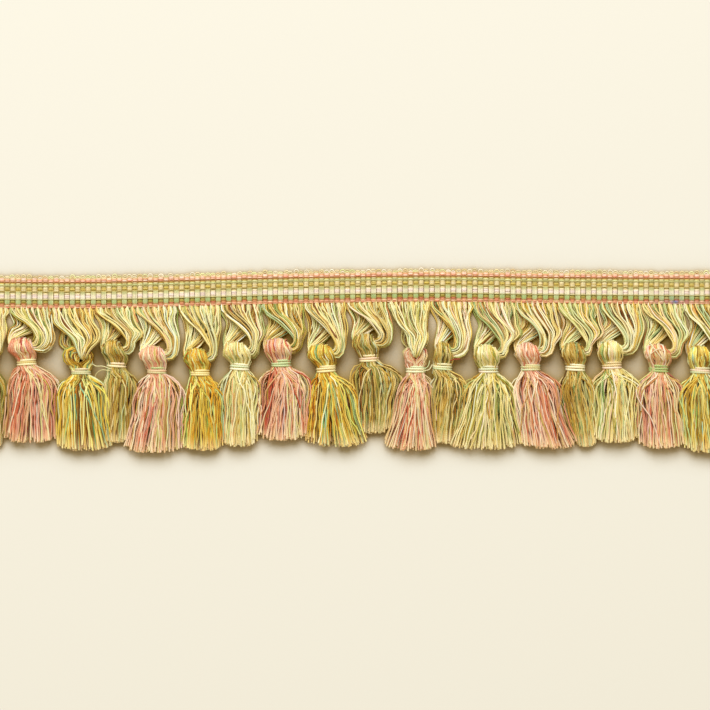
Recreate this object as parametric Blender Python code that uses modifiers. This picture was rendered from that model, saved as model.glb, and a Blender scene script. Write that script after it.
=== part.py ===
"""Tassel fringe trim: a cut length of furnishing trim, lying face up on a flat surface.

A woven band carries a netted skirt of loose yarn loops. Each group of loops is gathered through
the folded head of one tassel, and each tassel is bound round its neck with a few turns of yarn.
Run it with blender --background --python part.py, or from the text editor.

All sizes are in millimetres until a vertex is made. X runs along the band, Y from the tassels'
ends towards the band, Z up out of the face of the trim. The origin is the middle of the band's
back, where it is sewn or glued on.
"""

import math
from collections import namedtuple

import bmesh
import bpy
from mathutils import Matrix, Vector

MM = 0.001
CLEARANCE = 0.3  # between neighbouring pieces

# The woven band: one rib for each pick of weft, and eight picks to a tassel.
TASSEL_COUNT = 18
PICKS_PER_TASSEL = 8
PICK = 2.262
GROUP = PICKS_PER_TASSEL * PICK
BAND_LENGTH = TASSEL_COUNT * GROUP
BAND_HALF_HEIGHT = 6.6
PICOT = 1.3  # how far each pick's loop stands past the upper edge
RIB_TOP, RIB_VALLEY = 2.0, 1.5
SELVEDGE_INSET = 1.5
SELVEDGE_TOP, SELVEDGE_VALLEY = 1.7, 1.2

# How high the band's middle line lies, at even steps from well beyond its left end to well beyond
# its right end. It is laid in a very flat wave.
LAY_START, LAY_STEP = -240.0, 40.0
BAND_LAY = (-1.4, -1.6, -1.85, -2.15, -1.5, -0.38, 0.33, 0.8, 0.18, -0.17, -0.37, -0.5, -0.6)

# The strip that holds the roots of one group of loops, just below the band.
STRIP_DEPTH = 1.1
STRIP_BOTTOM, STRIP_MIDDLE, STRIP_TOP = 0.2, 0.95, 1.8
FRONT_LANES = 4
BACK_LANES = 2
LANE_GAP = 0.4

# The bundle of loops where it passes through a tassel's head.
BUNDLE_HALF_WIDTH = 1.45
BUNDLE_HALF_DEPTH = 1.1
BUNDLE_ROUNDING = 0.75  # 0 is a flat ribbon, 1 a full oval
HEAD_SIDE_GAP = 0.4  # how far outside the head's sides the bundle begins and ends
NEXT_HEAD_GAP = 2.2  # between a fan's lower part and the next head

# A fan of loops on its way down, from the roots to the bulge. The inner edge lies beside the head.
# Shares across run from the group's own edge (0) to the head or the bulge (1), and shares down run
# from the roots (0) to the middle of the eye (1).
Fan = namedtuple(
    "Fan", "inner_across inner_down inner_z outer_across outer_down outer_z half_depth"
)
SIDE_FAN = [
    Fan(0.13, 0.20, 2.6, 0.2, 0.18, 2.2, 0.5),
    Fan(0.56, 0.36, 4.2, 0.7, 0.40, 3.3, 0.6),
    Fan(0.92, 0.57, 5.4, 1.0, 0.62, 4.3, 0.65),
]
FRONT_FAN = [
    Fan(0.12, 0.20, 3.0, 0.1, 0.20, 3.0, 0.5),
    Fan(0.44, 0.45, 5.8, 1.0, 0.45, 5.8, 0.6),
]
BACK_FAN = Fan(0.55, 0.26, 0.9, 0.7, 0.30, 0.9, 0.45)

# The same loops close to the head. Places are in mm to the right of the head's side and above the
# middle of the eye, and outer_across is a share of the way from the head's side to the bulge.
Turn = namedtuple("Turn", "inner_x inner_rise inner_z outer_across outer_rise outer_z half_depth")
SIDE_TURNS = [
    Turn(-0.3, 3.8, 5.8, 1.0, 1.9, 4.3, 0.75),
    Turn(0.6, 2.0, 5.2, 0.6, -2.0, 4.2, 0.95),
]

# The loops where they leave the head, in mm from its left side and above the middle of the eye.
Leave = namedtuple("Leave", "inner_x inner_rise outer_x outer_rise z half_depth")
SIDE_LEAVES = [
    Leave(-0.2, 2.9, -1.6, 1.5, 3.4, 0.8),
    Leave(1.2, 5.9, -1.5, 5.4, 1.7, 0.6),
]

# Loops that pass through a head from its front, in mm from the middle of the eye. The half depth
# is along Y and Z, because the bundle turns down through the head.
Through = namedtuple("Through", "x rise z half_width depth_y depth_z")
FRONT_TURN = Through(0.3, 5.0, 8.2, 3.3, 0.0, 0.6)
FRONT_BUNDLE = [
    Through(0.0, 0.9, 8.0, BUNDLE_HALF_WIDTH, -0.7, 0.7),
    Through(0.0, 0.0, 4.6, BUNDLE_HALF_WIDTH, -BUNDLE_HALF_DEPTH, 0.0),
    Through(0.0, 0.6, 1.15, BUNDLE_HALF_WIDTH, -0.5, -0.5),
]
FRONT_LEAVE = Through(-0.4, 5.0, 0.8, 2.6, 0.0, -0.5)
FRONT_BACK_HALF_WIDTH = 5.2

# The tassel: a head folded over the bundle, a bound neck, and cut ends in two layers.
EYE_RADIUS = 2.4
EYE_RISE = 6.4  # from the middle of the neck to the middle of the eye
EYE_Z = 4.5
HEAD_THICKNESS = 2.0
HEAD_ROUNDING = 0.7  # how far the head's edges fall back
LOBE_Z, LOBE_HALF_DEPTH = 4.6, 2.4  # a head whose loops come from the front
NECK_Z = 3.45
NECK_HALF_WIDTH, NECK_HALF_DEPTH = 3.2, 2.3
NECK_FLARE = 0.7
WAIST_HALF_HEIGHT = 1.9
CROTCH_RISE, CAP_DROP = 2.7, 2.7
LOCKS_ACROSS = 5
LOCK_GAP = 0.6
LAYER_GAP = 0.4
SHOULDER_DROP = 6.2  # from the middle of the neck to the shoulder of the tassel
SHOULDER_TOP, MIDDLE_TOP, HEM_TOP = 6.4, 5.8, 4.4
MIDDLE_SPREAD = 0.45  # how much of the hem's spread is reached half way down
LAYER_SPLIT = 0.5  # where the two layers meet, as a share of the height
BACK_RAGGED_SHIFT = 2  # so that front and back locks of one place differ in length
RAGGED = (0.0, 0.8, 0.2, 1.0, 0.4)  # how much shorter each lock is than the longest

# The tie: two turns of yarn round the neck.
TIE_EDGE = 1.1  # from its middle to the edge of its inner side
TIE_CREST = 1.0  # from its middle to the middle of each turn
TIE_THICKNESS = 0.85
TIE_GROOVE = 0.35
TIE_STEPS = 10

Tassel = namedtuple(
    "Tassel",
    "yarn link entry bulge neck_x neck_y slope head_left head_right"
    " shoulder_left shoulder_right hem_left hem_right hem_y",
)

# One row for each tassel, from left to right. The link says whether the loops pass through the
# head from its side, or from its front at the entry. The bulge is how far right the loops swing.
# neck_x, neck_y and hem_y are places, slope is the tie's rise for each mm to the right, and the
# rest are distances to the left or right of the neck.
TASSELS = [
    Tassel("sage", "side", 0.0, 8.0, -154.0, -33.8, 0.03, 7.0, 3.6, 8.0, 7.6, 9.0, 6.5, -68.7),
    Tassel("rose", "side", 0.0, 11.4, -137.0, -31.9, 0.10, 8.0, 3.3, 7.0, 11.6, 9.8, 12.0, -66.1),
    Tassel("gold", "front", 1.2, 8.8, -113.6, -35.8, 0.05, 8.2, 5.4, 9.8, 9.6, 10.0, 12.2, -69.5),
    Tassel("sage", "side", 0.0, 11.5, -98.4, -33.0, -0.02, 6.6, 3.3, 5.0, 7.8, 2.6, 3.2, -66.1),
    Tassel("rose", "side", 0.0, 10.5, -81.1, -35.4, 0.02, 7.3, 3.7, 8.6, 10.0, 13.4, 10.2, -70.4),
    Tassel("gold", "side", 0.0, 7.6, -62.6, -36.4, 0.04, 6.9, 3.4, 6.2, 8.6, 7.4, 9.2, -69.5),
    Tassel("sage", "side", 0.0, 10.3, -45.6, -33.8, -0.03, 7.3, 4.2, 7.4, 8.0, 7.0, 7.0, -67.8),
    Tassel("rose", "side", 0.0, 11.0, -27.8, -32.3, 0.08, 7.6, 4.6, 8.2, 11.0, 10.0, 10.4, -65.2),
    Tassel("gold", "side", 0.0, 8.6, -8.6, -34.7, 0.10, 8.2, 3.3, 5.6, 10.0, 7.6, 17.0, -67.8),
    Tassel("sage", "side", 0.0, 9.9, 9.9, -30.2, 0.10, 7.4, 3.3, 7.2, 12.2, 1.4, 6.6, -62.2),
    Tassel("rose", "front", 0.0, 4.6, 29.9, -34.9, 0.02, 6.0, 5.0, 6.4, 6.6, 12.2, 9.0, -69.5),
    Tassel("gold", "side", 0.0, 12.0, 41.3, -33.8, -0.02, 3.4, 4.4, 3.8, 9.4, 1.4, 2.6, -66.5),
    Tassel("sage", "side", 0.0, 14.1, 61.1, -34.9, 0.05, 6.5, 4.4, 9.4, 9.8, 16.4, 13.8, -69.1),
    Tassel("rose", "side", 0.0, 13.3, 79.1, -34.1, 0.04, 7.0, 3.8, 7.0, 11.2, 3.2, 20.0, -68.7),
    Tassel("gold", "side", 0.0, 11.6, 98.3, -34.1, -0.02, 6.5, 4.4, 6.4, 7.4, -2.0, 5.8, -67.8),
    Tassel("sage", "side", 0.0, 12.5, 114.0, -33.2, 0.08, 6.2, 4.5, 7.2, 10.2, 8.6, 11.2, -66.1),
    Tassel("rose", "side", 0.0, 13.6, 134.0, -34.6, 0.00, 6.4, 5.0, 8.4, 9.0, 7.4, 11.0, -68.7),
    Tassel("gold", "side", 0.0, 11.4, 151.8, -35.4, 0.02, 5.6, 4.6, 7.6, 8.4, 5.8, 10.8, -70.4),
]

# Base colours of the yarns, with how matt each one is.
YARN_LOOKS = {
    "band": ((0.72, 0.62, 0.33, 1.0), 0.7),
    "ivory": ((0.80, 0.66, 0.34, 1.0), 0.6),
    "sage": ((0.60, 0.58, 0.28, 1.0), 0.6),
    "rose": ((0.70, 0.34, 0.24, 1.0), 0.6),
    "gold": ((0.52, 0.33, 0.06, 1.0), 0.6),
}

# One place along a bundle: its middle, half its width and half its depth, the last two as vectors.
Station = namedtuple("Station", "centre across depth")

# The outline of a tassel's loose hank at one height along it.
Section = namedtuple("Section", "y left right top")


class Surface:
    """A closed surface that grows face by face. Faces that name the same point share it."""

    def __init__(self):
        self.mesh = bmesh.new()
        self.known = {}

    def vertex(self, point):
        key = tuple(round(value, 4) for value in point)
        if key not in self.known:
            self.known[key] = self.mesh.verts.new(Vector(point) * MM)
        return self.known[key]

    def face(self, points):
        self.mesh.faces.new([self.vertex(point) for point in points])

    def tube(self, rings, first_mids=None, last_mids=None):
        """Walls between each ring and the next. Mids are more points on a side of an end ring."""
        corners = len(rings[0])
        for number, (ring, following) in enumerate(zip(rings, rings[1:])):
            mids = first_mids if number == 0 else None
            more = last_mids if number == len(rings) - 2 else None
            for side in range(corners):
                near = [ring[side], *(mids or {}).get(side, []), ring[(side + 1) % corners]]
                after = following[(side + 1) % corners]
                far = [following[side], *(more or {}).get(side, []), after]
                self.face(near + far[::-1])

    def finish(self, name, yarn, collection):
        """Makes the object for this surface, with its faces turned outwards.

        Warped faces are split along their shorter diagonal, so that the walls on both sides of a
        slit are split alike and stay apart.
        """
        bmesh.ops.recalc_face_normals(self.mesh, faces=self.mesh.faces)
        bmesh.ops.triangulate(self.mesh, faces=self.mesh.faces, quad_method="SHORT_EDGE")
        data = bpy.data.meshes.new(name)
        self.mesh.to_mesh(data)
        self.mesh.free()
        data.shade_smooth()
        data.set_sharp_from_angle(angle=math.radians(35))
        data.materials.append(yarn_material(yarn))
        made = bpy.data.objects.new(name, data)
        collection.objects.link(made)
        return made


def yarn_material(yarn):
    """The plain finish of one yarn."""
    name = f"{yarn}_yarn"
    if name in bpy.data.materials:
        return bpy.data.materials[name]
    colour, roughness = YARN_LOOKS[yarn]
    material = bpy.data.materials.new(name)
    material.use_nodes = True
    shader = material.node_tree.nodes["Principled BSDF"]
    shader.inputs["Base Color"].default_value = colour
    shader.inputs["Roughness"].default_value = roughness
    shader.inputs["Metallic"].default_value = 0.0
    return material


def band_y(x):
    """The height of the band's middle line at x, on a smooth curve through the laid heights."""
    steps = (x - LAY_START) / LAY_STEP
    number = int(steps)
    share = steps - number
    before, start, end, after = BAND_LAY[number - 1 : number + 3]
    slope, next_slope = (end - before) / 2, (after - start) / 2
    bend = 3 * (end - start) - 2 * slope - next_slope
    twist = 2 * (start - end) + slope + next_slope
    return start + share * (slope + share * (bend + share * twist))


def blend(start, end, share):
    return start + (end - start) * share


# The woven band


def band_column(number):
    """One cross-section of the band, from its upper edge to its lower. Odd ones lie on a rib."""
    x = -BAND_LENGTH / 2 + number * PICK / 2
    middle = band_y(x)
    on_rib = number % 2 == 1
    picot = PICOT if on_rib else 0.0
    rib = RIB_TOP if on_rib else RIB_VALLEY
    selvedge = SELVEDGE_TOP if on_rib else SELVEDGE_VALLEY
    inset = BAND_HALF_HEIGHT - SELVEDGE_INSET
    return [
        (x, middle + BAND_HALF_HEIGHT + picot, 0.0),
        (x, middle + inset, selvedge),
        (x, middle, rib),
        (x, middle - inset, selvedge),
        (x, middle - BAND_HALF_HEIGHT, 0.0),
    ]


def make_band(collection):
    """The heading: a ribbed tape with a picot upper edge and a flat back."""
    columns = [band_column(number) for number in range(2 * TASSEL_COUNT * PICKS_PER_TASSEL + 1)]
    surface = Surface()
    for left, right in zip(columns, columns[1:]):
        for row in range(len(left) - 1):
            surface.face([left[row], right[row], right[row + 1], left[row + 1]])
        surface.face([left[0], left[-1], right[-1], right[0]])
    for end in (columns[0], columns[-1]):
        surface.face(end)
    return surface.finish("heading", "band", collection)


# The skirt of loops


def group_edges(number):
    """Where one tassel's group of picks begins and ends along the band."""
    left = -BAND_LENGTH / 2 + number * GROUP
    return left + CLEARANCE / 2, left + GROUP - CLEARANCE / 2


def strip_point(number, share, depth, z):
    """A point on a group's strip: share runs along it, depth down from its upper face."""
    x = blend(*group_edges(number), share)
    return (x, band_y(x) - BAND_HALF_HEIGHT - CLEARANCE - depth, z)


def ribbon(inner, outer, half_depth):
    """A station whose width runs from the inner edge's point to the outer edge's."""
    inner, outer = Vector(inner), Vector(outer)
    return Station((inner + outer) / 2, (outer - inner) / 2, Vector((0, 0, half_depth)))


def on_station(station, share, side):
    """A point on the upper (side 1) or lower (side -1) face of a station, thinner at its ends."""
    crown = math.sqrt(1 - BUNDLE_ROUNDING * share**2)
    return station.centre + station.across * share + station.depth * side * crown


def cell(station, low, high, gap=0.0):
    """The four corners of one lane of a station. low and high are from -1 to 1."""
    inset = gap / 2 / station.across.length
    low, high = low + inset, high - inset
    corners = ((low, 1), (high, 1), (high, -1), (low, -1))
    return [on_station(station, *corner) for corner in corners]


def root_height(tassel):
    """The height of the lower side of a group's strip."""
    return band_y(tassel.neck_x) - BAND_HALF_HEIGHT - CLEARANCE - STRIP_DEPTH


def fan_station(row, inner, outer, root, eye_y):
    """A station of a fan. inner and outer each give where that edge is at the band and below."""
    inner_point = (blend(*inner, row.inner_across), blend(root, eye_y, row.inner_down), row.inner_z)
    outer_point = (blend(*outer, row.outer_across), blend(root, eye_y, row.outer_down), row.outer_z)
    return ribbon(inner_point, outer_point, row.half_depth)


def side_route(number, tassel):
    """Stations of loops that swing round the right of a head and pass through it sideways."""
    left, right = group_edges(number)
    root = root_height(tassel)
    head_right = tassel.neck_x + tassel.head_right
    head_left = tassel.neck_x - tassel.head_left
    eye_y = tassel.neck_y + EYE_RISE
    bulge = tassel.neck_x + tassel.bulge
    low_bulge = min(bulge, next_head_left(number) - NEXT_HEAD_GAP)
    front = [
        fan_station(row, (left, head_right), (right, bulge), root, eye_y) for row in SIDE_FAN
    ]
    for row in SIDE_TURNS:
        inner = (head_right + row.inner_x, eye_y + row.inner_rise, row.inner_z)
        outer_x = blend(head_right, low_bulge, row.outer_across)
        front.append(ribbon(inner, (outer_x, eye_y + row.outer_rise, row.outer_z), row.half_depth))
    bundle = [
        ribbon(
            (x, eye_y + BUNDLE_HALF_WIDTH, EYE_Z),
            (x, eye_y - BUNDLE_HALF_WIDTH, EYE_Z),
            BUNDLE_HALF_DEPTH,
        )
        for x in (head_right + HEAD_SIDE_GAP, tassel.neck_x, head_left - HEAD_SIDE_GAP)
    ]
    back = []
    for row in SIDE_LEAVES:
        inner = (head_left + row.inner_x, eye_y + row.inner_rise, row.z)
        outer = (head_left + row.outer_x, eye_y + row.outer_rise, row.z)
        back.append(ribbon(inner, outer, row.half_depth))
    back.append(fan_station(BACK_FAN, (right, head_left), (left, head_left), root, eye_y))
    return front, bundle, back


def through_station(row, eye_x, eye_y):
    """A station of loops that pass through a head from its front."""
    centre = Vector((eye_x + row.x, eye_y + row.rise, row.z))
    return Station(centre, Vector((row.half_width, 0, 0)), Vector((0, row.depth_y, row.depth_z)))


def front_route(number, tassel):
    """Stations of loops that come over the front of a head, through it and up behind it."""
    left, right = group_edges(number)
    root = root_height(tassel)
    eye_y = tassel.neck_y + EYE_RISE
    eye_x = tassel.neck_x + tassel.entry
    bulge = tassel.neck_x + tassel.bulge
    front = [fan_station(row, (left, eye_x), (right, bulge), root, eye_y) for row in FRONT_FAN]
    front.append(through_station(FRONT_TURN, eye_x, eye_y))
    bundle = [through_station(row, eye_x, eye_y) for row in FRONT_BUNDLE]
    upper_back = Station(
        Vector((eye_x, blend(root, eye_y, BACK_FAN.outer_down), BACK_FAN.outer_z)),
        Vector((FRONT_BACK_HALF_WIDTH, 0, 0)),
        Vector((0, 0, -BACK_FAN.half_depth)),
    )
    return front, bundle, [through_station(FRONT_LEAVE, eye_x, eye_y), upper_back]


def next_head_left(number):
    """The left edge of the next tassel's head, or the end of the band."""
    if number + 1 == len(TASSELS):
        return BAND_LENGTH / 2 + 1.0
    following = TASSELS[number + 1]
    return following.neck_x - following.head_left


def make_strip(surface, number, splits):
    """The strip's own faces. Its lower face is left open, because locks grow from all of it."""
    last = len(splits) - 1
    upper_edge = [strip_point(number, share, STRIP_DEPTH, STRIP_TOP) for share in splits]
    lower_edge = [
        strip_point(number, lane / BACK_LANES, STRIP_DEPTH, STRIP_BOTTOM)
        for lane in range(BACK_LANES + 1)
    ]
    back_top = [strip_point(number, share, 0.0, STRIP_TOP) for share in (0, 1)]
    back_bottom = [strip_point(number, share, 0.0, STRIP_BOTTOM) for share in (0, 1)]
    surface.face(upper_edge + back_top[::-1])
    surface.face(lower_edge + back_bottom[::-1])
    surface.face(back_top + back_bottom[::-1])
    for end, share in ((0, 0), (last, 1)):
        side = -1 if end else 0
        surface.face(
            [
                upper_edge[end],
                strip_point(number, share, STRIP_DEPTH, STRIP_MIDDLE),
                lower_edge[side],
                back_bottom[side],
                back_top[side],
            ]
        )


def root_face(number, shares, heights):
    """The four corners of a lock's root on the strip, between two shares and two heights."""
    (low, high), (first, second) = shares, heights
    corners = ((low, first), (high, first), (high, second), (low, second))
    return [strip_point(number, share, STRIP_DEPTH, z) for share, z in corners]


def make_skirt(number, tassel, collection):
    """One group of loops: front locks, the bundle through the head, back locks and their strip."""
    from_side = tassel.link == "side"
    route = side_route if from_side else front_route
    front, bundle, back = route(number, tassel)
    splits = [lane / FRONT_LANES for lane in range(FRONT_LANES + 1)]
    surface = Surface()
    make_strip(surface, number, splits)
    for low, high in zip(splits, splits[1:]):
        root = root_face(number, (low, high), (STRIP_TOP, STRIP_MIDDLE))
        lane = [cell(station, 2 * low - 1, 2 * high - 1, LANE_GAP) for station in front]
        surface.tube([root, *lane, cell(bundle[0], 2 * low - 1, 2 * high - 1)])
    outlines = [
        [on_station(station, 2 * share - 1, 1) for share in splits]
        + [on_station(station, 2 * share - 1, -1) for share in splits[::-1]]
        for station in bundle
    ]
    surface.tube(outlines)
    # A side link brings the bundle's left side to the right of its roots.
    mirror = -1 if from_side else 1
    heights = (STRIP_MIDDLE, STRIP_BOTTOM) if from_side else (STRIP_BOTTOM, STRIP_MIDDLE)
    for lane_number in range(BACK_LANES):
        low, high = -1 + lane_number, lane_number
        middle = (low + high) / 2
        shares = [(1 + mirror * place) / 2 for place in (low, high)]
        lane = [cell(station, low, high, LANE_GAP) for station in back]
        start_mids = {
            0: [on_station(bundle[-1], middle, 1)],
            2: [on_station(bundle[-1], middle, -1)],
        }
        root_mid = strip_point(number, sum(shares) / 2, STRIP_DEPTH, STRIP_MIDDLE)
        surface.tube(
            [cell(bundle[-1], low, high), *lane, root_face(number, shares, heights)],
            first_mids=start_mids,
            last_mids={0 if from_side else 2: [root_mid]},
        )
    return surface.finish(f"skirt_{number + 1:02d}", "ivory", collection)


# The tassels


def neck_ring(tassel, rise, grow):
    """Ten points round the neck: left end, front four, right end, back four."""
    half_width, half_depth = NECK_HALF_WIDTH + grow, NECK_HALF_DEPTH + grow
    lean = Matrix.Rotation(math.atan(tassel.slope), 3, "Z")
    middle = Vector((tassel.neck_x, tassel.neck_y, NECK_Z))
    points = []
    for step in range(2 * LOCKS_ACROSS):
        angle = math.pi - math.pi * step / LOCKS_ACROSS
        place = Vector((half_width * math.cos(angle), rise, half_depth * math.sin(angle)))
        points.append(tuple(middle + lean @ place))
    return points


def head_section(tassel, turn):
    """One section of the folded head: two inner corners with a ridged outer side between them.

    turn is 0 at the first leg's side of the eye, 90 over its top and 180 at the second leg's.
    """
    angle = math.radians(turn)
    up = Vector((0, 1, 0))
    if tassel.link == "side":
        left = tassel.head_left * (1.0 - 0.2 * math.sin(angle))
        right = tassel.head_right * (1.0 - 0.45 * math.sin(angle))
        half = (left + right) / 2
        middle = tassel.neck_x + (right - left) / 2
        centre = Vector((middle, tassel.neck_y + EYE_RISE, EYE_Z))
        across, front = Vector((1, 0, 0)), Vector((0, 0, 1))
        thickness = HEAD_THICKNESS
        places = (-1.0, -0.42, 0.42, 1.0)
    else:
        half = LOBE_HALF_DEPTH
        centre = Vector((tassel.neck_x + tassel.entry, tassel.neck_y + EYE_RISE, LOBE_Z))
        across, front = Vector((0, 0, 1)), Vector((-1, 0, 0))
        lobe = tassel.head_left + tassel.entry if turn < 90 else tassel.head_right - tassel.entry
        thickness = blend(lobe - EYE_RADIUS, HEAD_THICKNESS, math.sin(angle))
        places = (-1.0, -0.55, 0.0, 0.55, 1.0)
    radial = front * math.cos(angle) + up * math.sin(angle)
    inner = [centre + across * side * half * 0.96 + radial * EYE_RADIUS for side in (-1, 1)]
    outer = []
    for place in places:
        edge = HEAD_ROUNDING if abs(place) == 1.0 else 0.0
        outer.append(centre + across * place * half + radial * (EYE_RADIUS + thickness - edge))
    return [inner[0], *outer, inner[1]]


def make_head(surface, tassel, top):
    """The head: a strap of yarn folded over the eye, whose two legs meet at the neck.

    Returns the points that the legs share on the way round, by the side of the neck they lie on.
    """
    half = LOCKS_ACROSS
    turns = (0, 45, 90, 135, 180)
    sections = [head_section(tassel, turn) for turn in turns]
    if tassel.link == "side":
        first_leg = top[: half + 1]
        second_leg = [top[0], *top[:half:-1], top[half]]
        surface.tube([first_leg, *sections, second_leg])
        return {}
    front_side, back_side = half // 2, half + half // 2
    front_mid = tuple((Vector(top[front_side]) + Vector(top[front_side + 1])) / 2)
    back_mid = tuple((Vector(top[back_side]) + Vector(top[back_side + 1])) / 2)
    first_leg = [back_mid, *top[back_side + 1 :], *top[: front_side + 1], front_mid]
    second_leg = [back_mid, *top[back_side:front_side:-1], front_mid]
    surface.tube([first_leg, *sections, second_leg])
    return {front_side: [front_mid], back_side: [back_mid]}


def lock_section(section, number, layer):
    """The corners of one lock on a section of the hank: an end lock has three, others four."""
    split = section.top * LAYER_SPLIT
    inner_z = split + layer * LAYER_GAP / 2
    low, high = number / LOCKS_ACROSS, (number + 1) / LOCKS_ACROSS
    inset = LOCK_GAP / 2 / (section.right - section.left)
    first = number == 0
    last = number == LOCKS_ACROSS - 1
    low += 0 if first else inset
    high -= 0 if last else inset

    def place(share, outer):
        crown = math.sqrt(1 - (2 * share - 1) ** 2)
        outer_z = blend(inner_z, section.top, crown) if layer > 0 else 0.0
        return (blend(section.left, section.right, share), section.y, outer_z if outer else inner_z)

    if first:
        return [place(0, False), place(high, True), place(high, False)]
    if last:
        return [place(low, True), place(1, False), place(low, False)]
    return [place(low, True), place(high, True), place(high, False), place(low, False)]


def hank_sections(tassel, short):
    """Outlines of the loose hank: its shoulder, its middle and the hem of one lock."""
    shoulder = Section(
        tassel.neck_y - SHOULDER_DROP,
        tassel.neck_x - tassel.shoulder_left,
        tassel.neck_x + tassel.shoulder_right,
        SHOULDER_TOP,
    )
    hem = Section(
        tassel.hem_y, tassel.neck_x - tassel.hem_left, tassel.neck_x + tassel.hem_right, HEM_TOP
    )
    middle = Section(
        blend(shoulder.y, hem.y, 0.5),
        blend(shoulder.left, hem.left, MIDDLE_SPREAD),
        blend(shoulder.right, hem.right, MIDDLE_SPREAD),
        MIDDLE_TOP,
    )
    return [shoulder, middle, hem._replace(y=hem.y + short)]


def make_locks(surface, tassel):
    """The cut ends below the neck: a front and a back layer of locks, fused only at their roots."""
    rim = [Vector(point) for point in neck_ring(tassel, -CAP_DROP, NECK_FLARE)]
    half = LOCKS_ACROSS
    spine = [rim[0].lerp(rim[half], step / half) for step in range(half + 1)]
    arcs = {1: rim[: half + 1], -1: [rim[0], *rim[:half:-1], rim[half]]}
    for layer, arc in arcs.items():
        for number in range(LOCKS_ACROSS):
            # An end lock's root runs to a point, so one corner of it is left out.
            inner = spine[max(number, 1) : min(number + 2, half)]
            root = [arc[number], arc[number + 1], *inner[::-1]]
            late = 0 if layer > 0 else BACK_RAGGED_SHIFT
            short = RAGGED[(number + late) % len(RAGGED)]
            sections = hank_sections(tassel, short)
            rings = [lock_section(section, number, layer) for section in sections]
            surface.tube([root, *rings])
            surface.face(rings[-1])


def make_tassel(number, tassel, collection):
    """One tassel: folded head, bound neck and cut ends, all of the same yarn."""
    surface = Surface()
    top = neck_ring(tassel, CROTCH_RISE, NECK_FLARE)
    shared = make_head(surface, tassel, top)
    rings = [
        top,
        neck_ring(tassel, WAIST_HALF_HEIGHT, 0.0),
        neck_ring(tassel, -WAIST_HALF_HEIGHT, 0.0),
        neck_ring(tassel, -CAP_DROP, NECK_FLARE),
    ]
    surface.tube(rings, first_mids=shared)
    make_locks(surface, tassel)
    return surface.finish(f"tassel_{number + 1:02d}", tassel.yarn, collection)


def make_tie(number, tassel, collection):
    """Two turns of yarn bound round the neck: a grooved profile turned about its line."""
    outer = 1 + TIE_THICKNESS / (NECK_HALF_WIDTH + CLEARANCE)
    groove = outer - TIE_GROOVE / (NECK_HALF_WIDTH + CLEARANCE)
    profile = [(1, TIE_EDGE), (outer, TIE_CREST), (groove, 0), (outer, -TIE_CREST), (1, -TIE_EDGE)]
    name = f"tie_{number + 1:02d}"
    data = bpy.data.meshes.new(name)
    corners = [(radius * MM, height * MM, 0) for radius, height in profile]
    sides = [(corner, (corner + 1) % len(profile)) for corner in range(len(profile))]
    data.from_pydata(corners, sides, [])
    data.materials.append(yarn_material("ivory"))
    made = bpy.data.objects.new(name, data)
    turned = made.modifiers.new("turned", "SCREW")
    turned.axis = "Y"
    turned.steps = TIE_STEPS
    turned.render_steps = TIE_STEPS
    turned.use_merge_vertices = True
    turned.merge_threshold = 0.00001
    turned.use_normal_calculate = True
    made.location = Vector((tassel.neck_x, tassel.neck_y, NECK_Z)) * MM
    made.rotation_euler.z = math.atan(tassel.slope)
    made.scale = (NECK_HALF_WIDTH + CLEARANCE, 1, NECK_HALF_DEPTH + CLEARANCE)
    collection.objects.link(made)
    return made


def main():
    for old in list(bpy.data.objects):
        bpy.data.objects.remove(old)
    collection = bpy.data.collections.new("tassel_fringe_trim")
    bpy.context.scene.collection.children.link(collection)
    make_band(collection)
    for number, tassel in enumerate(TASSELS):
        make_skirt(number, tassel, collection)
        make_tassel(number, tassel, collection)
        make_tie(number, tassel, collection)


main()
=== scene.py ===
"""Tassel fringe trim, laid face up on a table, with the finish of its yarns.

Sizes are in millimetres until a piece is made. X runs along the band, Y from the tassels' cut
ends towards the band, and Z up from the table through the face of the trim.
"""

import math
from collections import namedtuple

import bpy
import numpy as np
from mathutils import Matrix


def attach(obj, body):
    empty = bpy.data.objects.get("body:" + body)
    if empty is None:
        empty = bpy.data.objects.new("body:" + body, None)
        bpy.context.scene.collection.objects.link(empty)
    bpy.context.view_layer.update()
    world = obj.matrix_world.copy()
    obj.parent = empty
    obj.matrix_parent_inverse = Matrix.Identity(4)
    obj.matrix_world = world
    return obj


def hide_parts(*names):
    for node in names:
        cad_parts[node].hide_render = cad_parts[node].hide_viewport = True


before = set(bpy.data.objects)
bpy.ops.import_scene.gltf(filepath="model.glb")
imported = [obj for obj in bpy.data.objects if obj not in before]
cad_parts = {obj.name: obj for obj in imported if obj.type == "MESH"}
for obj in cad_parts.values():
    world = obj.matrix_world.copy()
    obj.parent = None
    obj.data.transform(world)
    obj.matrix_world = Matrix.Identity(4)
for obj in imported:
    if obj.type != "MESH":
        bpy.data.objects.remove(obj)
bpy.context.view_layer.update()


# Ground cloth of the band: a narrow woven tape with a rib for each pick of weft. It carries all
# the coloured floats, and it is what would be sewn or glued to a cushion or a curtain.

MM = 0.001
TASSEL_COUNT = 18
PICKS_PER_TASSEL = 8
PICK = 2.262
PICK_COUNT = TASSEL_COUNT * PICKS_PER_TASSEL
BAND_LENGTH = PICK_COUNT * PICK
BAND_HALF_HEIGHT = 6.6
# How far the band's middle line lies above straight, and how far its picks slip to the right, at
# even steps along it.
LAY_START, LAY_STEP = -240.0, 40.0
BAND_LAY = np.array((-1.4, -1.6, -1.85, -2.15, -1.5, -0.38, 0.33, 0.8, 0.18, -0.17, -0.37, -0.5, -0.6))
PICK_SLIP = np.array((0, 0, 0, 1.2, 0.75, 0.4, -0.5, -0.38, 0.75, 1.3, 0, 0, 0))
GROUND_TOP, GROUND_VALLEY, GROUND_EDGE = 1.3, 1.1, 0.6
GROUND_ROWS = (-6.6, -6.2, -3.3, 0.0, 3.3, 6.2, 6.6)


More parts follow.
